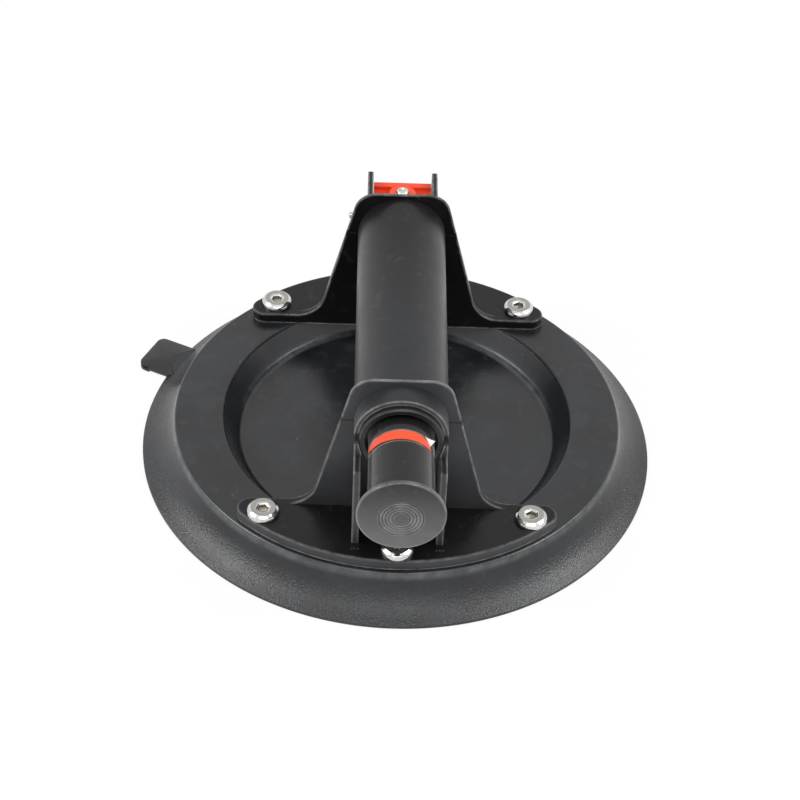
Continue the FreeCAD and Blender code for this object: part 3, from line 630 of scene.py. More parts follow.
@dataclass(frozen=True)
class MouldedRubber(Moulded):
    """Compression-moulded rubber: a grained skin that scatters a soft sheen, cloudy bloom and a little dust, and, when
    given a smooth middle, painted light, glints and highlights.

    Attributes:
        highlight_patch_mm: Width of the patches in which the corners' painted highlight is stronger or weaker.
        smooth_inside: Radius in metres within which the grain is fine, or 0 for an even grain without smears, darker
            rim, painted glint, painted light or painted highlights.
        wisp_mm: Width of the smears of bloom within that radius.
        wisp: Colour of the smears.
        peak: Colour of a glint painted on the grain's peaks, outside that radius.
        ridge: Radius of a corner on which a highlight is painted as a pale ring, in metres.
        ridge_half: Half the width of that painted ring.
        corner: Radius of a second such corner, low in a hollow: painted pale in its rear half, where the light falls,
            with a wall outside it that painted light makes paler.
        corner_half: Half the width of that ring.
        painted_highlight: Colour of the painted highlight on both corners.
        wall: Colour of the painted light on that wall.
        wall_width: How far it runs outwards from the corner.
        dark_outside: Radius beyond which the skin is darker.
        outer_colour: Colour there.
    """

    patch_mm: float = 22.0  # clouds of bloom
    grain_mm: float = 0.5  # blasted grain, drawn coarser than the real 0.2 mm so that it shows
    grain_depth: float = 0.02
    gloss_mm: float = 14.0
    dust: float = 0.0
    dust_cell_mm: float = 5.0
    speck_mm: float = 0.4
    dust_colour: str = "#a8a8a4"
    highlight_patch_mm: float = 6.0
    smooth_inside: float = 0.0
    wisp_mm: float = 9.0
    wisp: str = "#333538"
    peak: str = "#3c3e40"
    ridge: float = 0.0
    ridge_half: float = 0.0011
    corner: float = 0.0
    corner_half: float = 0.0022
    painted_highlight: str = "#6a6c6e"
    wall: str = "#3b3d40"
    wall_width: float = 0.006
    dark_outside: float = 1.0
    outer_colour: str = "#101112"

    def shader(self, tree: Tree) -> bpy.types.Node:
        """Lays the wear and dust on clouds of bloom, with the blasted grain as a bump.

        Args:
            tree: The material's empty node tree.

        Returns:
            The shader node that the output takes.
        """
        coords = add(tree, "TexCoord").outputs["Object"]
        grain = add(tree, "TexNoise", {"Vector": coords, "Scale": 1 / (self.grain_mm * MM), "Detail": 3.0,
                                       "Roughness": 0.6}).outputs[0]
        skin = patches_of(tree, coords, self.patch_mm, self.dark, self.light, detail=5.0)
        depth: Socket | float = self.grain_depth * MM
        if self.smooth_inside:
            flat = add(tree, "VectorMath", {0: coords, 1: (1.0, 1.0, 0.0)}, operation="MULTIPLY").outputs[0]
            radius = add(tree, "VectorMath", {0: flat}, operation="LENGTH").outputs["Value"]
            outside = overlap(tree, (radius, self.smooth_inside, self.smooth_inside + 0.003))
            depth = add(tree, "MapRange", {"Value": outside, "To Min": 0.25 * self.grain_depth * MM,
                                           "To Max": self.grain_depth * MM}).outputs[0]
            skin = self.bloom_and_painted_light(tree, coords, skin, grain, radius, outside)
        bump = add(tree, "Bump", {"Height": grain, "Strength": 0.7, "Distance": depth})
        return add(tree, "BsdfPrincipled", {
            "Base Color": self.dusted(tree, coords, skin),
            "Roughness": patches_of(tree, coords, self.gloss_mm, self.roughness - 0.05, self.roughness + 0.06,
                                    detail=4.0),
            "IOR": 1.52, "Sheen Weight": 0.02, "Sheen Roughness": 0.4, "Normal": bump.outputs[0]})

    def bloom_and_painted_light(self, tree: Tree, coords: Socket, skin: Socket, grain: Socket, radius: Socket,
                  outside: Socket) -> Socket:
        """Lays smears of bloom, a painted glint on the grain's peaks, a darker rim, painted light on the hollow's wall
        and painted highlights on two corners on the skin.

        Args:
            tree: The node tree.
            coords: Coordinates in metres.
            skin: Colour of the skin so far.
            grain: The grain's noise.
            radius: Distance from the cup's axis.
            outside: Share that is 1 where the grain is coarse.

        Returns:
            The socket with the colour.
        """
        wisps = add(tree, "TexNoise", {"Vector": coords, "Scale": 1 / (self.wisp_mm * MM), "Detail": 6.0,
                                       "Distortion": 1.2})
        inside = add(tree, "Math", {0: 1.0, 1: outside}, operation="SUBTRACT").outputs[0]
        skin = laid_on(tree, skin, self.wisp, inside, (wisps.outputs[0], 0.5, 0.72, 0.5))
        # painted glint: the grain's peaks paler, outside the smooth middle
        skin = laid_on(tree, skin, self.peak, outside, (grain, 0.5, 0.68, 0.55))
        skin = laid_on(tree, skin, self.outer_colour, (radius, self.dark_outside, self.dark_outside + 0.001))
        # painted light: the hollow's wall, outwards from the corner, paler
        wall_end = self.corner + self.wall_width
        skin = laid_on(tree, skin, self.wall, (radius, self.corner - 0.001, self.corner + 0.002, 0.75),
                       (radius, wall_end + 0.0005, wall_end - 0.0005))
        # painted highlights: a pale ring on the ridge, and one on the hollow's corner in its rear half only, where the
        # light falls
        behind = (add(tree, "SeparateXYZ", {0: coords}).outputs[1], 0.0, 0.03)
        for middle, half, where in ((self.ridge, self.ridge_half, ()), (self.corner, self.corner_half, (behind,))):
            skin = laid_on(tree, skin, self.painted_highlight, (radius, middle - half, middle), (radius, middle + half, middle),
                           patches_of(tree, coords, self.highlight_patch_mm, 0.25, 0.85), *where)
        return skin


@dataclass(frozen=True)
class TurnedMetal(Finish):
    """Plated metal, turned or drawn: fine rings along the unrolled surface and a cloudy plating.

    Attributes:
        gloss_mm: Width of the patches in which the roughness drifts.
        faced: Colour of flat tops, which are faced and stay satin, or empty for none.
        hollow: Colour inside a socket, stained by oil, or empty for none.
        hollow_run: How far the socket runs along the unrolled profile in millimetres.
    """

    patch_mm: float = 3.0  # patches of the plating
    grain_mm: float = 0.18  # from one turning ring to the next, drawn coarser than the real 0.05 mm so that they show
    grain_depth: float = 0.01
    gloss_mm: float = 1.5
    faced: str = ""
    hollow: str = ""
    hollow_run: float = 0.0

    def shader(self, tree: Tree) -> bpy.types.Node:
        """Rings from a noise that runs along the unrolled profile only, over plating patches.

        Args:
            tree: The material's empty node tree.

        Returns:
            The shader node that the output takes.
        """
        coords = add(tree, "TexCoord")
        along = add(tree, "Mapping", {"Vector": coords.outputs["UV"], "Scale": (0.0, 1 / self.grain_mm, 0.0)})
        rings = add(tree, "TexNoise", {"Vector": along.outputs[0], "Scale": 1.0, "Detail": 1.0})
        bump = add(tree, "Bump", {"Height": rings.outputs[0], "Strength": 0.4, "Distance": self.grain_depth * MM})
        base = patches_of(tree, coords.outputs["Object"], self.patch_mm, self.dark, self.light)
        rough = patches_of(tree, coords.outputs["Object"], self.gloss_mm, self.roughness - 0.06,
                           self.roughness + 0.08)
        if self.faced:
            facing = add(tree, "SeparateXYZ", {0: coords.outputs["Normal"]}).outputs[2]
            base = laid_on(tree, base, self.faced, (facing, 0.95, 0.99))
            satin = overlap(tree, (facing, 0.95, 0.99, 0.22))
            rough = add(tree, "Math", {0: rough, 1: satin}).outputs[0]
        if self.hollow:
            run = add(tree, "SeparateXYZ", {0: coords.outputs["UV"]}).outputs[1]
            base = laid_on(tree, base, self.hollow, (run, self.hollow_run, self.hollow_run - 0.3))
        return add(tree, "BsdfPrincipled", {
            "Base Color": base, "Roughness": rough, "Metallic": 1.0, "Normal": bump.outputs[0]})


@dataclass(frozen=True)
class NeedleFelt(Finish):
    """Needled wool felt: matt, with tangled fibres."""

    roughness: float = 0.95
    patch_mm: float = 0.6  # tufts
    grain_mm: float = 0.3  # width of a fibre, drawn coarser than the real 0.03 mm so that it shows
    grain_depth: float = 0.1

    def shader(self, tree: Tree) -> bpy.types.Node:
        """Tangled fibres from a warped noise, fully rough with a sheen.

        Args:
            tree: The material's empty node tree.

        Returns:
            The shader node that the output takes.
        """
        coords = add(tree, "TexCoord").outputs["Object"]
        fibre = add(tree, "TexNoise", {"Vector": coords, "Scale": 1 / (self.grain_mm * MM), "Detail": 4.0,
                                       "Distortion": 1.5})
        bump = add(tree, "Bump", {"Height": fibre.outputs[0], "Strength": 0.8, "Distance": self.grain_depth * MM})
        return add(tree, "BsdfPrincipled", {
            "Base Color": patches_of(tree, coords, self.patch_mm, self.dark, self.light),
            "Roughness": self.roughness, "Sheen Weight": 0.3, "Normal": bump.outputs[0]})


# ABS, moulded and lightly grained: near black and satin, made paler by painted light higher up and towards the front
# and on upright walls at the front, with painted highlights on its corners
HANDLE_ABS = MouldedPlastic("moulded_black_abs", "#080809", "#0e0e0f", 0.34, grain_depth=0.012, specular=0.28,
                            edge="#bcbcbc", seam_without_highlight=0.0658, dust=0.16, sheen=0.12, scuffs=0.3, painted_height_light="#2c2d2f",
                            painted_height_from=0.045, painted_height_to=0.066, painted_height_front=0.06, painted_height_fade=0.1,
                            upright="#4b4c4e", upright_front=-0.052)
# The same ABS in the faint, paler rings that the mould's pins left
MARK_ABS = MouldedPlastic("moulded_black_abs_marks", "#2c2c2d", "#343435", 0.4, grain_depth=0.012, specular=0.28)
# Acetal, moulded: the pump's fixed parts, black and a touch duller than the handle, with painted highlights on their
# corners and painted light on their upright walls
PUMP_ACETAL = MouldedPlastic("moulded_black_acetal", "#131314", "#1c1c1d", 0.3, specular=0.4, edge="#7c7c7c",
                             upright="#232425")
# Polypropylene, moulded: the plunger, a glossy black, with painted highlights on its corners and a painted reflection
# that makes the button face paler towards its bottom
PLUNGER_PP = MouldedPlastic("moulded_black_polypropylene", "#0f0f10", "#171718", 0.18, specular=0.36,
                            edge="#c4c4c4", sheen=0.3, dust=0.08, scuffs=0.55, painted_height_light="#78787a",
                            painted_height_from=0.09, painted_height_to=0.047, painted_height_front=-0.1062)
# ABS, moulded in signal orange: glossy and slightly uneven in depth of colour
LEVER_ABS = MouldedPlastic("moulded_orange_abs", "#f84823", "#fe5830", 0.3, grain_depth=0.01)
# Vinyl tape, calendered: bright, smooth, satin
BAND_VINYL = MouldedPlastic("orange_red_vinyl_tape", "#f6512c", "#fb5c35", 0.4, grain_depth=0.01)
# The tape's lifted end, white on both faces: its pale adhesive side, and a painted highlight
TAPE_END_BACK_AND_HIGHLIGHT = MouldedPlastic("adhesive_back_and_painted_highlight", "#fbe6df", "#fffaf8", 0.5, grain_depth=0.01)
# Painted shade: a black strip where the parting line between the two mouldings lies in shadow
SEAM_SHADOW = MouldedPlastic("painted_seam_shade", "#050505", "#080808", 0.6, grain_depth=0.01)
# Natural-rubber blend, moulded: charcoal with a cloudy bloom, grained by a blasted tool on the outer slope only, with
# painted highlights on the ridge, the hollow's rear corner and the grain's peaks, and painted light that makes the
# hollow's wall paler
CUP_RUBBER = MouldedRubber("moulded_black_rubber", "#121314", "#24262a", 0.25, grain_mm=0.8, grain_depth=0.34,
                           dust=0.3, ridge=0.0918, corner=0.0652, smooth_inside=0.0925, dark_outside=0.1046)
# Nitrile rubber, moulded in polished tools: smooth and black
SEAL_NBR = MouldedRubber("nitrile_rubber", "#121213", "#19191a", 0.42, grain_mm=0.3)
# PVC, extruded: smooth, black, a little glossy
HOSE_PVC = MouldedRubber("extruded_black_pvc", "#141415", "#1d1d1e", 0.34)
# Bright zinc plate on turned steel: silver, with fine rings
ZINC = TurnedMetal("bright_zinc_plated_steel", "#c6c4bf", "#e2e1dd", 0.2)
# The same plate on the foot bolts: bright flanks, satin faced tops, oil-stained sockets
BOLT_ZINC = TurnedMetal("faced_zinc_plated_steel", "#c4c3bf", "#e2e1de", 0.14, faced="#a3a29e", hollow="#a09d93",
                        hollow_run=3.4)
# Spring steel, drawn and oiled: grey, with a dull shine along the wire
SPRING_STEEL = TurnedMetal("drawn_spring_steel", "#77777a", "#9a9a9c", 0.28)
# Brass, turned: yellow, with fine rings
BRASS = TurnedMetal("turned_brass", "#b98e3c", "#d3aa58", 0.25)
# Mild steel inside the rubber, phosphated so that it bonds: dark grey and dull
RING_STEEL = TurnedMetal("phosphated_steel", "#4a4a4b", "#5d5d5e", 0.5)
# Wool felt, needled: matt and fibrous
FELT = NeedleFelt("needled_wool_felt", "#8f8b80", "#b9b5a8")

CAD_FINISHES: dict[str, Finish] = {
    "handle_body": HANDLE_ABS, "handle_shell": HANDLE_ABS,
    "pump_cylinder": PUMP_ACETAL, "cylinder_end_cap": PUMP_ACETAL, "outlet_elbow": PUMP_ACETAL,
    "guide_bush": PUMP_ACETAL, "piston_head": PUMP_ACETAL,
    "end_cap_seal": SEAL_NBR, "piston_seal": SEAL_NBR, "intake_flap": SEAL_NBR, "exhaust_flap": SEAL_NBR,
    "valve_pad": SEAL_NBR, "air_hose": HOSE_PVC, "port_filter": FELT, "pad_nipple": BRASS,
    "backing_ring": RING_STEEL, "threaded_inserts": RING_STEEL, "intake_flap_pin": ZINC,
    "exhaust_flap_screw": ZINC, "valve_arm": ZINC,
    "release_lever": LEVER_ABS,
}


def dress_cad_nodes() -> None:
    """Gives every CAD node that stays its real finish."""
    for name, finish in CAD_FINISHES.items():
        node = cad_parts[name]
        node.data.materials.clear()
        node.data.materials.append(finish.material())
    log.info("dressed %d CAD nodes", len(CAD_FINISHES))


# ---------------------------------------------------------------- rubber cup
@dataclass
class RubberCup:
    """Moulded vacuum cup with its pull tab."""

    rim: float = 105.0
    rim_break: float = 0.4
    rim_edge: float = 1.5
    land: float = 1.6
    knee: tuple[float, float] = (96.0, 6.2)
    knee_round: float = 22.0
    ridge: float = 91.3
    ridge_round: float = 1.1
    height: float = 16.8
    recess: float = 71.5
    recess_round: float = 1.8
    recess_floor: float = 6.6
    recess_foot_round: float = 4.0
    recess_draft: float = 6.0
    ceiling: float = 2.2
    hollow: tuple[float, float, float] = (83.0, 93.5, 1.4)
    ribs: tuple[float, ...] = (22.0, 42.0, 62.0)
    rib_width: float = 1.6
    rib_height: float = 0.9
    around: int = 320
    port_y: float = 72.5
    port_radius: float = 5.0
    port_depth: float = 1.4
    tab_angle: float = 154.1
    tab_reach: float = 13.8
    tab_root: float = 4.0
    tab_half_width: float = 9.8
    tab_round: float = 3.2
    tab_top: float = 3.3
    tab_step: float = 0.8
    tab_bead: float = 5.5

    def section(self) -> Array:
        """Profile from the underside's middle out to the rim and back over the top.

        Returns:
            (radius, height) points in mm.
        """
        inner, outer, depth = self.hollow
        ribs = [corner for radius in self.ribs for corner in (
            (radius - self.rib_width / 2, self.ceiling, 0.15),
            (radius - self.rib_width / 3, self.ceiling - self.rib_height, 0.15),
            (radius + self.rib_width / 3, self.ceiling - self.rib_height, 0.15),
            (radius + self.rib_width / 2, self.ceiling, 0.15))]
        corners = [(0.0, self.ceiling, 0.0), *ribs,
                   (inner - depth, self.ceiling, 0.4), (inner, self.ceiling + depth, 0.4),
                   (outer, self.ceiling + depth, 3.0),
                   (self.rim - self.rim_break - self.land, 0.0, 0.0), (self.rim - self.rim_break, 0.0, 0.1),
                   (self.rim, self.rim_break, 0.15), (self.rim, self.rim_edge, 0.35),
                   (*self.knee, self.knee_round), (self.ridge, self.height, self.ridge_round),
                   (self.recess, self.height, self.recess_round),
                   (self.recess - self.recess_draft, self.recess_floor, self.recess_foot_round),
                   (0.0, self.recess_floor, 0.0)]
        return refined(rounded(corners, step=7.0), 4.0)

    def skin(self) -> Patch:
        """The turned cup, with the air port's pocket pressed into its underside.

        Points on the underside within the port's radius of its middle are lifted by its depth.

        Returns:
            The closed surface.
        """
        patch = turned(self.section(), Axis((0, 0, 0)), self.around)
        points = patch.points
        off = np.hypot(points[..., 0], points[..., 1] - self.port_y)
        pocket = (off < self.port_radius) & (points[..., 2] < self.ceiling + 1e-6)
        points[..., 2] += np.where(pocket, self.port_depth, 0.0)
        return patch

    def tab(self) -> list[Patch]:
        """Pull tab and the bead under its end, in plan rounded at the outer corners.

        Returns:
            Two closed plates, turned to the tab's place on the rim.
        """
        start, end = self.rim - self.tab_root, self.rim + self.tab_reach
        side = self.tab_half_width
        parts = []
        for low, first, top in ((self.tab_step, start, self.tab_top), (0.0, end - self.tab_bead, self.tab_top - 0.02)):
            plan = rounded([(first, -side, 0.25), (end, -side, self.tab_round), (end, side, self.tab_round),
                            (first, side, 0.25)], closed=True)
            patch = stacked(plan, [(0.25, low), (0.07, low + 0.07), (0.0, low + 0.25), (0.0, top - 0.4),
                                   (0.12, top - 0.12), (0.4, top)])
            turn = math.radians(self.tab_angle)
            spin = np.array([[math.cos(turn), math.sin(turn), 0], [-math.sin(turn), math.cos(turn), 0], [0, 0, 1]])
            parts.append(Patch(patch.points @ spin))
        return parts

    def build(self) -> None:
        """Makes the cup."""
        piece("rubber_cup_skin", [self.skin(), *self.tab()], CUP_RUBBER, Body.HANDLE, ["rubber_cup"],
              sharp=40.0)


# ---------------------------------------------------------------- fasteners
@dataclass
class FootBolts:
    """Six low-head socket bolts that clamp the handle's feet."""

    circle: float = 83.0
    side_offset: float = 64.5
    head: float = 6.5
    edge: float = 0.7
    bulge: tuple[float, float] = (6.2, 1.75)
    top_radius: float = 4.95
    height: float = 2.65
    solid_height: float = 3.0  # of the plain head in the CAD model
    socket: float = 4.0
    socket_depth: float = 2.0
    mouth: float = 0.95
    shank: float = 3.0
    shank_point: float = 0.6
    length: float = 12.0
    twist_step: float = 0.7

    def places(self) -> list[tuple[float, float]]:
        """Middles of the bolts on their circle: one at each end of Y, and two beside it at side_offset along Y.

        Returns:
            (x, y) of each in mm.
        """
        side = math.asin(self.side_offset / self.circle)
        turns = [end * turn for end in (-1, 1) for turn in (side, math.pi / 2, math.pi - side)]
        return [(self.circle * math.cos(turn), self.circle * math.sin(turn)) for turn in turns]

    def bolt(self, x: float, y: float, z: float, twist: float) -> Patch:
        """One bolt, from the bottom of its socket out over the head and down the shank.

        The socket's rows have a hexagon's radius, and the head's rows are round, so the row between
        them is the socket's chamfered mouth.

        Args:
            x: Place across.
            y: Place along.
            z: Height of the face under the head.
            twist: Turn of the socket in radians.

        Returns:
            The closed surface.
        """
        turn = full_turn()
        hexagon = polygon_radius(turn + twist, self.socket, 6)
        top, bottom = self.height, self.height - self.socket_depth
        head = rounded([(self.shank, 0.0, 0.0), (self.head - 0.15, 0.0, 0.0), (self.head, 0.15, 0.1),
                        (self.head, self.edge, 0.5), (*self.bulge, 1.6), (self.top_radius, top, 0.2),
                        (self.socket / 2 + self.mouth, top, 0.2)], step=8.0)[2:][::-1]
        # a drilled point, the hexagon's walls, its chamfered mouth, the head and the shank
        rows = [(0.0, bottom - 0.5), (hexagon * 0.82, bottom - 0.05), (hexagon * 0.98, bottom),
                (hexagon, bottom + 0.1), (hexagon, top - 0.45), (hexagon + 0.08, top - 0.36), *head,
                (self.shank, 0.0), (self.shank, -self.length + self.shank_point),
                (self.shank - self.shank_point, -self.length), (0.0, -self.length)]
        return ringed(rows, turn, Axis((x, y, z)))

    def build(self) -> None:
        """Makes the six bolts as one piece."""
        _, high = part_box("foot_bolts")
        seat = high.z / MM - self.solid_height
        bolts = [self.bolt(x, y, seat, self.twist_step * index) for index, (x, y) in enumerate(self.places())]
        piece("socket_bolts", bolts, BOLT_ZINC, Body.HANDLE, ["foot_bolts"])


@dataclass
class CrossScrew:
    """Pan-head screw with a cross recess, and a thread if it is long enough to show one."""

    name: str
    node: str
    body: Body
    axis: Axis
    head: float
    head_height: float
    radius: float
    length: float
    arm: float
    slot_width: float
    depth: float
    thread_from: float = 0.0
    thread_depth: float = 0.22
    pitch: float = 0.5

    def surface(self) -> Patch:
        """The screw from the bottom of its recess over the dome and down the shank.

        The recess's rows have the radius of a cross. The dome's height is
        h (1 - (r / R)^4)^0.4 down to its rim, and the thread's radius is
        R - d |2 frac(s / pitch - t / 2 pi) - 1|, a triangle wave that climbs once a turn.

        Returns:
            The closed surface.
        """
        turn = full_turn()
        cross = cross_radius(turn, self.arm, self.slot_width)

        def dome(radius: Array) -> Array:
            """Height of the pan head at a radius."""
            return self.head_height * np.clip(1 - (radius / self.head) ** 4, 0, 1) ** 0.4

        # the recess widens from a point, then the dome, the face under the head, the shank and its thread
        bottom = self.head_height - self.depth
        rows = [(0.0, bottom), (cross * 0.35, bottom + 0.1), (cross * 0.8, bottom + self.depth * 0.55),
                (cross, dome(cross) - 0.06), (cross + 0.05, dome(cross + 0.05))]
        for radius in [*np.linspace(self.arm + 0.12, self.head * 0.93, 6),
                       *(self.head * np.array([0.96, 0.98, 0.993, 1.0]))]:
            ring = np.maximum(radius, cross + 0.07)
            rows.append((ring, dome(ring)))
        plain = -self.thread_from
        rows += [(self.head - 0.1, 0.0), (self.radius, 0.0), (self.radius, plain)]
        if self.thread_from:
            for height in np.arange(plain - 0.06, -self.length + 0.5, -self.pitch / 5):
                wave = np.abs(2 * ((-height / self.pitch - turn / (2 * np.pi)) % 1.0) - 1)
                rows.append((self.radius - self.thread_depth * wave, height))
        rows += [(self.radius - 0.25, -self.length + 0.4), (self.radius - 0.6, -self.length), (0.0, -self.length)]
        return ringed(rows, turn, self.axis)

    def build(self) -> None:
        """Makes the screw."""
        piece(self.name, [self.surface()], ZINC, self.body, [self.node])


@dataclass
class PivotNut:
    """Hexagon nut on the cross screw, with the corners turned off."""

    across: float = 5.5
    thickness: float = 2.4
    bore: float = 1.53
    bore_chamfer: float = 0.3
    corner_rise: float = 0.55

    def build(self) -> None:
        """Makes the nut.

        A row's radius is the smaller of the hexagon's and of the cone that turns the corners off.
        """
        low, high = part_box("pivot_nut")
        middle = (low + high) / 2 / MM
        axis = Axis((high.x / MM, middle.y, middle.z), (-1, 0, 0), (0, 0, 1))
        turn = full_turn()
        hexagon = polygon_radius(turn + np.pi / 6, self.across, 6)
        # the bore's chamfer and one face with its turned corners, then the same mirrored
        rows = [(self.bore, self.bore_chamfer), (self.bore + self.bore_chamfer, 0.0)]
        rows += [(np.minimum(hexagon, self.across / 2 * 1.02 + up / self.corner_rise), up)
                 for up in (0.0, 0.05, 0.1, 0.15, 0.2, 0.25)]
        rows += [(radius, self.thickness - height) for radius, height in rows[::-1]]
        nut = ringed(rows, turn, axis, wrap_rows=True)
        piece("hexagon_nut", [nut], ZINC, Body.HANDLE, ["pivot_nut"], sharp=25.0)


# ---------------------------------------------------------------- plunger
@dataclass
class Plunger:
    """Hollow plunger with a grooved thumb button, and the signal tape wound round it."""

    front: float = -110.0
    button_rear: float = -108.4
    button: float = 16.5
    radius: float = 12.4
    bore: float = 10.0
    rear: float = -55.7
    floor: float = 3.4
    band: tuple[float, float] = (-82.7, -77.3)
    band_depth: float = 0.4
    grooves: tuple[float, ...] = (3.3, 4.5, 5.7, 6.9, 8.1)
    groove_width: float = 0.4
    groove_depth: float = 0.42
    groove_drop: float = 1.6
    flat_rim: float = 1.2
    tape_gap: float = 0.03
    tape_left: tuple[float, float] = (-66.0, -90.0)
    tape_right: tuple[float, float, float] = (62.0, 57.0, 35.0)
    tape_trim_at: tuple[float, float, float, float] = (-80.0, -35.0, 30.0, 60.0)
    tape_trim: tuple[float, float, float, float] = (1.9, 0.75, 0.55, 1.1)
    tape_fold: float = 0.48

    def tube(self) -> Patch:
        """Turned from the grooved face round the button's rim, along the tube and back inside.

        The grooves' centre lies below the pump's axis, so points of the face at radius r are lowered by
        the drop times s^2 (3 - 2 s), where s runs from 1 at the grooves to 0 at the rim.

        Returns:
            The closed surface.
        """
        grooves = [corner for radius in self.grooves for corner in (
            (radius - self.groove_width, self.front, 0.08), (radius, self.front + self.groove_depth, 0.1),
            (radius + self.groove_width, self.front, 0.08))]
        low, high = self.band
        bottom = self.radius - self.band_depth
        corners = [(0.0, self.front, 0.0), *grooves, (self.button, self.front, 0.35),
                   (self.button, self.button_rear, 0.35), (self.radius, self.button_rear, 0.3),
                   (self.radius, low, 0.06), (bottom, low, 0.0), (bottom, high, 0.0), (self.radius, high, 0.06),
                   (self.radius, self.rear, 0.0), (self.bore, self.rear, 0.0),
                   (self.bore, self.front + self.floor, 0.8), (0.0, self.front + self.floor, 0.0)]
        patch = turned(refined(rounded(corners, step=14.0), 1.5), PUMP_AXIS, 128)
        points = patch.points
        radius = np.hypot(points[..., 0], points[..., 2] - PUMP_AXIS_Z)
        sunk_rim, sunk_whole = self.button - self.flat_rim, self.grooves[-1] + 2 * self.groove_width
        share = np.clip((sunk_rim - radius) / (sunk_rim - sunk_whole), 0, 1)
        on_face = points[..., 1] < self.front + self.groove_depth + 0.01
        points[..., 2] -= np.where(on_face, self.groove_drop * share ** 2 * (3 - 2 * share), 0.0)
        return patch

    def tape(self) -> Patch:
        """Tape over the top of the plunger's groove, cut aslant at its left end, with its corner off.

        At share t of its width, its turn round the plunger runs from the left end's angle, a straight
        line in t, to the right end's, which is straight up to the fold and straight again after it. Its
        front edge is trimmed back, and the further round it goes to the left, the more.

        Returns:
            The closed strip.
        """
        low, high = self.band
        gap = self.tape_gap
        outer, inner = self.radius - gap, self.radius - self.band_depth + gap
        ring = refined(rounded([(inner, low + gap, 0.0), (outer, low + gap, 0.12), (outer, high - gap, 0.12),
                                (inner, high - gap, 0.0), (inner, low + gap + 0.01, 0.0)], step=20.0), 0.6)
        across = (ring[:, 1] - low) / (high - low)
        first = np.interp(across, (0, 1), self.tape_left)
        last = np.interp(across, (0, self.tape_fold, 1), self.tape_right)
        turn = np.radians(first + (last - first) * np.linspace(0, 1, 72)[:, None])
        trim = np.interp(np.degrees(turn.mean(axis=1)), self.tape_trim_at, self.tape_trim)
        along = high - (high - ring[:, 1][None]) * (1 - trim[:, None] / (high - low))
        return capped(PUMP_AXIS.place(ring[:, 0][None], turn, along))

    def build(self) -> None:
        """Makes the plunger and its tape."""
        piece("plunger_and_button", [self.tube()], PLUNGER_PP, Body.PLUNGER, ["plunger"], 25.0)
        piece("signal_tape", [self.tape()], BAND_VINYL, Body.PLUNGER, ["indicator_band"])


@dataclass
class TapeEnd:
    """The tape's rear corner, which has come a little unstuck.

    Attributes:
        radius: Radius of the tape's face.
        rear_y: Place of the tape's rear edge.
        root: Turn where the fold meets the rear edge, in degrees.
        fold: Turn and place along Y where the fold meets the tape's end.
        tip: Turn of the loose corner, in degrees.
        lift: How far the corner stands off the tape.
        thickness: Thickness of the tape.
    """

    radius: float = 12.42
    rear_y: float = -77.3
    root: float = 43.0
    fold: tuple[float, float] = (57.0, -80.1)
    tip: float = 60.0
    lift: float = 1.7
    thickness: float = 0.12

    def build(self) -> None:
        """Makes the lifted corner.

        At share s along it and w from the fold to the rear edge, its turn and its place along Y run
        straight between the fold's and the edge's, and it stands off by lift s^1.6 w^1.3.
        """
        s, w = np.meshgrid(np.linspace(0.02, 1, 24), np.linspace(0, 1, 9), indexing="ij")
        turn = np.radians(self.root + s * ((self.fold[0] - self.root) * (1 - w) + (self.tip - self.root) * w))
        y = self.rear_y + (self.fold[1] - self.rear_y) * s * (1 - w)
        radius = self.radius + self.lift * s ** 1.6 * w ** 1.3
        back, face = (PUMP_AXIS.place(radius + offset, turn, y) for offset in (0.0, self.thickness))
        patch = capped(np.concatenate([back, face[:, ::-1]], axis=1))
        # painted highlight: the lifted corner is white on both faces, over its pale adhesive side
        made = piece("lifted_tape_end", [patch], TAPE_END_BACK_AND_HIGHLIGHT, Body.PLUNGER)
        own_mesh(made)


# ---------------------------------------------------------------- springs and moulding marks
@dataclass
class LeverSpring:
    """Torsion spring on the cross screw: one leg in the end cap, one under the lever's floor."""

    coil: float = 2.6
    wire: float = 0.4
    start: float = 4.9
    pitch: float = 1.05
    turns: float = 3.75
    cap_leg_y: float = 59.5
    floor_z: float = 73.3
    helix_points: int = 150
    leg_points: int = 12

    def build(self) -> None:
        """Makes the spring as one wire: the leg under the lever's floor, a helix and the leg in the cap.

        The helix stays at the coil's radius from the cross screw's axis and goes one pitch along it for
        each turn. Both legs are straight.
        """
        y, z = PIVOT_Y, PUMP_AXIS_Z
        turn = np.linspace(0, 2 * np.pi * self.turns, self.helix_points)
        helix = Axis((0, y, z), (1, 0, 0), (0, -1, 0)).place(self.coil, turn,
                                                              self.start + self.pitch * turn / (2 * np.pi))
        end = helix[-1]
        leg = np.linspace((self.start, y - self.coil, self.floor_z), (self.start, y - self.coil, z + 0.3),
                          self.leg_points)
        cap_leg = np.linspace((end[0], end[1] - 0.4, end[2]), (end[0], self.cap_leg_y + 0.1, end[2]), self.leg_points)
        path = np.concatenate([leg, helix, cap_leg])
        made = piece("lever_torsion_spring", [tube_along(path, self.wire)], SPRING_STEEL, None,
                     ["lever_spring"])
        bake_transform(made)


@dataclass
class ReturnSpring:
    """Compression spring behind the piston."""

    coil: float = 9.2
    wire: float = 0.8
    turns: float = 9.0
    front: float = -45.7
    rear: float = 45.7
    points_in_turn: int = 28

    def build(self) -> None:
        """Makes the spring as one wire: a helix at the coil's radius, going evenly along the pump as it turns."""
        share = np.linspace(0, 1, int(self.turns * self.points_in_turn) + 1)
        start, end = self.front + self.wire, self.rear - self.wire
        path = Axis((0, 0, PUMP_AXIS_Z), (0, 1, 0)).place(self.coil, -2 * np.pi * self.turns * share,
                                                          start + (end - start) * share)
        made = piece("plunger_return_spring", [tube_along(path, self.wire)], SPRING_STEEL, Body.HANDLE,
                     ["return_spring"])
        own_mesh(made)


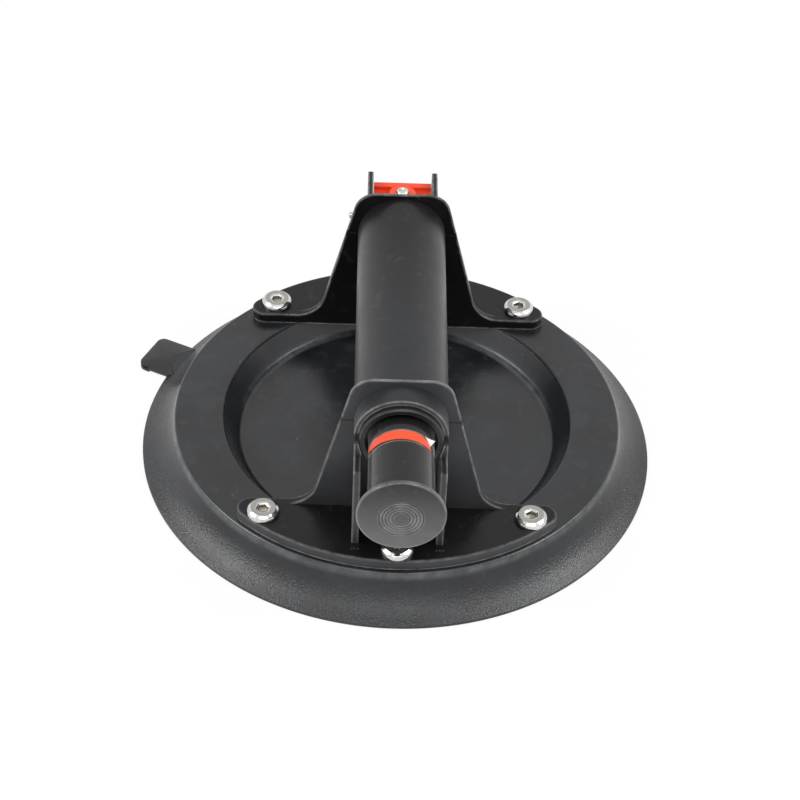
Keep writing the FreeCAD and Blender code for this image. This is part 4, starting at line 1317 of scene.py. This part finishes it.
@dataclass
class MouldingMarks:
    """Painted shade along the parting line between the handle's two mouldings, and the ejector marks on its feet."""

    seam_height: float = 0.46
    proud: float = 0.03
    web_inside: float = 57.12
    web_outside: float = 58.99
    grip: float = 18.1
    web_half: float = 23.02
    foot_top: float = 21.3
    ejectors: tuple[tuple[float, float], ...] = ((-35.0, -66.8), (35.0, -66.8))
    ejector_radius: float = 5.0
    ejector_width: float = 0.26
    gate: tuple[float, float] = (16.3, 83.2)
    gate_step: float = 1.25
    gate_radius: float = 0.42

    def seam(self) -> list[Patch]:
        """Thin black belts of painted shade round each web leg at the parting plane, and thin strips of it along the
        grip's sides.

        Returns:
            Closed plates, each as high as the seam.
        """
        low, high = PUMP_AXIS_Z - self.seam_height / 2, PUMP_AXIS_Z + self.seam_height / 2
        belts = []
        for side in (-1, 1):
            for end in (-1, 1):
                ys = sorted((end * (self.web_inside - self.proud), end * (self.web_outside + self.proud)))
                xs = sorted((side * (self.grip - 0.6), side * (self.web_half + self.proud)))
                belts.append((xs, ys))
            belts.append((sorted((side * (self.grip - 0.4), side * (self.grip + self.proud))),
                          (-self.web_inside - 0.2, self.web_inside + 0.2)))
        patches = []
        for (x0, x1), (y0, y1) in belts:
            plan = rounded([(x0, y0, 0.02), (x1, y0, 0.02), (x1, y1, 0.02), (x0, y1, 0.02)], closed=True, step=40.0)
            patches.append(stacked(plan, [(0.0, low), (0.0, high)]))
        return patches

    def ejector(self, x: float, y: float) -> Patch:
        """A low ring where an ejector pin met the foot: its section is a triangle 0.02 mm proud of it.

        Args:
            x: Place across.
            y: Place along.

        Returns:
            The closed surface.
        """
        half = self.ejector_width / 2
        rows = [(self.ejector_radius - half, -0.05), (self.ejector_radius, 0.02), (self.ejector_radius + half, -0.05)]
        return ringed(rows, full_turn(48), Axis((x, y, self.foot_top)), wrap_rows=True)

    def gate_stub(self, x: float, y: float) -> Patch:
        """A blob that a runner's gate left on the foot: a dome of radius R and height 0.6 R.

        Args:
            x: Place across.
            y: Place along.

        Returns:
            The closed surface.
        """
        turn = np.linspace(0, np.pi / 2, 6)
        dome = np.stack([self.gate_radius * np.sin(turn), 0.6 * self.gate_radius * np.cos(turn)], -1)
        return turned(np.concatenate([dome, [[0.0, -0.1]]]), Axis((x, y, self.foot_top)), 16)

    def build(self) -> None:
        """Makes the marks."""
        # painted shade: black strips where the gap between the two mouldings lies in shadow
        piece("seam_painted_shade", self.seam(), SEAM_SHADOW, Body.HANDLE)
        stubs = [self.gate_stub(side * self.gate[0] + step * self.gate_step, end * self.gate[1])
                 for side in (-1, 1) for end in (-1, 1) for step in (-1, 0, 1)]
        piece("ejector_and_gate_marks", [*[self.ejector(x, y) for x, y in self.ejectors], *stubs], MARK_ABS,
              Body.HANDLE)


# ---------------------------------------------------------------- studio
@dataclass(frozen=True)
class SoftBox:
    """A large soft lamp aimed at the lifter.

    Attributes:
        name: Name of the lamp.
        place: Where it stands, in metres.
        size: Width and height in metres.
        radiance: Brightness of its face, where 1 is white.
    """

    name: str
    place: tuple[float, float, float]
    size: tuple[float, float]
    radiance: float

    def build(self) -> None:
        """Makes the lamp. Its power is radiance x pi x area."""
        lamp = bpy.data.lights.new(self.name, "AREA")
        lamp.shape = "RECTANGLE"
        lamp.size, lamp.size_y = self.size
        lamp.energy = self.radiance * math.pi * self.size[0] * self.size[1]
        made = bpy.data.objects.new(self.name, lamp)
        made.location = self.place
        made.rotation_mode = "QUATERNION"
        made.rotation_quaternion = (Vector((0, 0, 0.04)) - Vector(self.place)).to_track_quat("-Z", "Y")
        bpy.context.scene.collection.objects.link(made)


def seen_as_white(tree: Tree) -> Socket:
    """Share that is 1 for the rays by which the camera, gloss and glass see the background.

    Args:
        tree: The node tree.

    Returns:
        The socket with the share.
    """
    path = add(tree, "LightPath")
    seen = path.outputs["Is Camera Ray"]
    for ray in ("Is Glossy Ray", "Is Transmission Ray"):
        seen = add(tree, "Math", {0: seen, 1: path.outputs[ray]}, operation="MAXIMUM").outputs[0]
    return seen


@dataclass
class Studio:
    """White room, white table, soft lamps and the camera.

    Attributes:
        world_strength: How strongly the room lights, where 1 is white.
        table_half: Half the table's width in metres.
        table_drop: Gap under the lifter, so that their faces don't lie in one plane.
        table_glow: Share of the table's white that is its own.
        table_light: Brightness of that share.
        lens: Focal length in millimetres on a 36 mm sensor.
        place: Where the camera is, in metres.
        pitch: How far the camera looks down, in degrees.
        pan: How far it is turned to its left.
        roll: How far it is tipped.
        boxes: The lamps.
    """

    world_strength: float = 0.22
    table_half: float = 4.0
    table_drop: float = 0.00002
    table_glow: float = 0.87
    table_light: float = 1.03
    lens: float = 100.49
    place: tuple[float, float, float] = (-0.020406, -0.684896, 0.633214)
    pitch: float = 41.632
    pan: float = 1.783
    roll: float = 2.763
    boxes: tuple[SoftBox, ...] = (
        SoftBox("left_softbox", (-1.19, -0.14, 0.98), (0.72, 0.72), 7.6),
        SoftBox("right_softbox", (1.1, -0.06, 1.1), (0.72, 0.72), 7.6),
        SoftBox("front_softbox", (0.0, -0.95, 1.3), (1.2, 0.6), 2.6))

    def white_room(self) -> None:
        """World that the camera, gloss and glass see as white, and that lights softly."""
        world = bpy.data.worlds.new("white_room")
        bpy.context.scene.world = world
        world.use_nodes = True
        tree = world.node_tree
        tree.nodes.clear()
        strength = add(tree, "MapRange", {"Value": seen_as_white(tree), "To Min": self.world_strength, "To Max": 1.0})
        background = add(tree, "Background", {"Color": (1, 1, 1, 1), "Strength": strength.outputs[0]})
        add(tree, "OutputWorld", {"Surface": background.outputs[0]})

    def table(self) -> None:
        """White table, most of whose white is its own, so that the lifter's shadow stays faint."""
        mesh = bpy.data.meshes.new("table")
        half, low = self.table_half, -self.table_drop
        mesh.from_pydata([(-half, -half, low), (half, -half, low), (half, half, low), (-half, half, low)],
                         [], [(0, 1, 2, 3)])
        made = bpy.data.objects.new("table", mesh)
        bpy.context.scene.collection.objects.link(made)
        material = bpy.data.materials.new("white_laminate")
        material.use_nodes = True
        tree = material.node_tree
        tree.nodes.clear()
        share = add(tree, "Math", {0: seen_as_white(tree), 1: self.table_glow}, operation="MULTIPLY")
        matt = add(tree, "BsdfDiffuse", {"Color": linear("#f4f4f4")})
        glow = add(tree, "Emission", {"Color": (1, 1, 1, 1), "Strength": self.table_light})
        mixed = add(tree, "MixShader", {0: share.outputs[0], 1: matt.outputs[0], 2: glow.outputs[0]})
        add(tree, "OutputMaterial", {"Surface": mixed.outputs[0]})
        mesh.materials.append(material)

    def camera(self) -> None:
        """Camera above the pump's end, a little off the pump's line.

        Its axes are the rows of Rroll C Rz(pan), where C holds right (1, 0, 0), down
        (0, -sin e, -cos e) and forward (0, cos e, -sin e) for pitch e.
        """
        e, p, r = (math.radians(angle) for angle in (self.pitch, self.pan, self.roll))
        pan = np.array([[math.cos(p), -math.sin(p), 0], [math.sin(p), math.cos(p), 0], [0, 0, 1]])
        tilt = np.array([[1, 0, 0], [0, -math.sin(e), -math.cos(e)], [0, math.cos(e), -math.sin(e)]])
        roll = np.array([[math.cos(r), -math.sin(r), 0], [math.sin(r), math.cos(r), 0], [0, 0, 1]])
        right, down, forward = roll @ tilt @ pan
        matrix = Matrix(np.column_stack([right, -down, -forward]).tolist()).to_4x4()
        matrix.translation = Vector(self.place)
        lens = bpy.data.cameras.new("camera")
        lens.lens = self.lens
        lens.sensor_width = 36.0
        lens.clip_start, lens.clip_end = 0.05, 50.0
        made = bpy.data.objects.new("camera", lens)
        made.matrix_world = matrix
        bpy.context.scene.collection.objects.link(made)
        bpy.context.scene.camera = made

    def build(self) -> None:
        """Sets the room, the table, the lamps and the camera."""
        bpy.context.scene.view_settings.view_transform = "Standard"
        self.white_room()
        self.table()
        for box in self.boxes:
            box.build()
        self.camera()
        log.info("studio with %d lamps", len(self.boxes))


def main() -> None:
    """Dresses the CAD nodes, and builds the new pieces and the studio."""
    logging.basicConfig(level=logging.INFO, format="%(name)s: %(message)s")
    bpy.context.view_layer.update()
    dress_cad_nodes()
    RubberCup().build()
    FootBolts().build()
    CrossScrew("lever_cross_screw", "lever_screw", Body.LEVER, Axis((0, 70.3, 77.5)), head=2.7, head_height=1.6,
               radius=1.5, length=8.0, arm=1.45, slot_width=0.62, depth=1.1).build()
    across = Axis((17.7, PIVOT_Y, PUMP_AXIS_Z), (1, 0, 0), (0, 1, 0))
    CrossScrew("pivot_cross_screw", "pivot_screw", Body.HANDLE, across, head=2.9, head_height=2.2, radius=1.5,
               length=40.0, arm=1.55, slot_width=0.66, depth=1.3, thread_from=30.0).build()
    PivotNut().build()
    Plunger().build()
    TapeEnd().build()
    LeverSpring().build()
    ReturnSpring().build()
    MouldingMarks().build()
    Studio().build()
    bpy.context.view_layer.update()


if __name__ == "__main__":
    main()
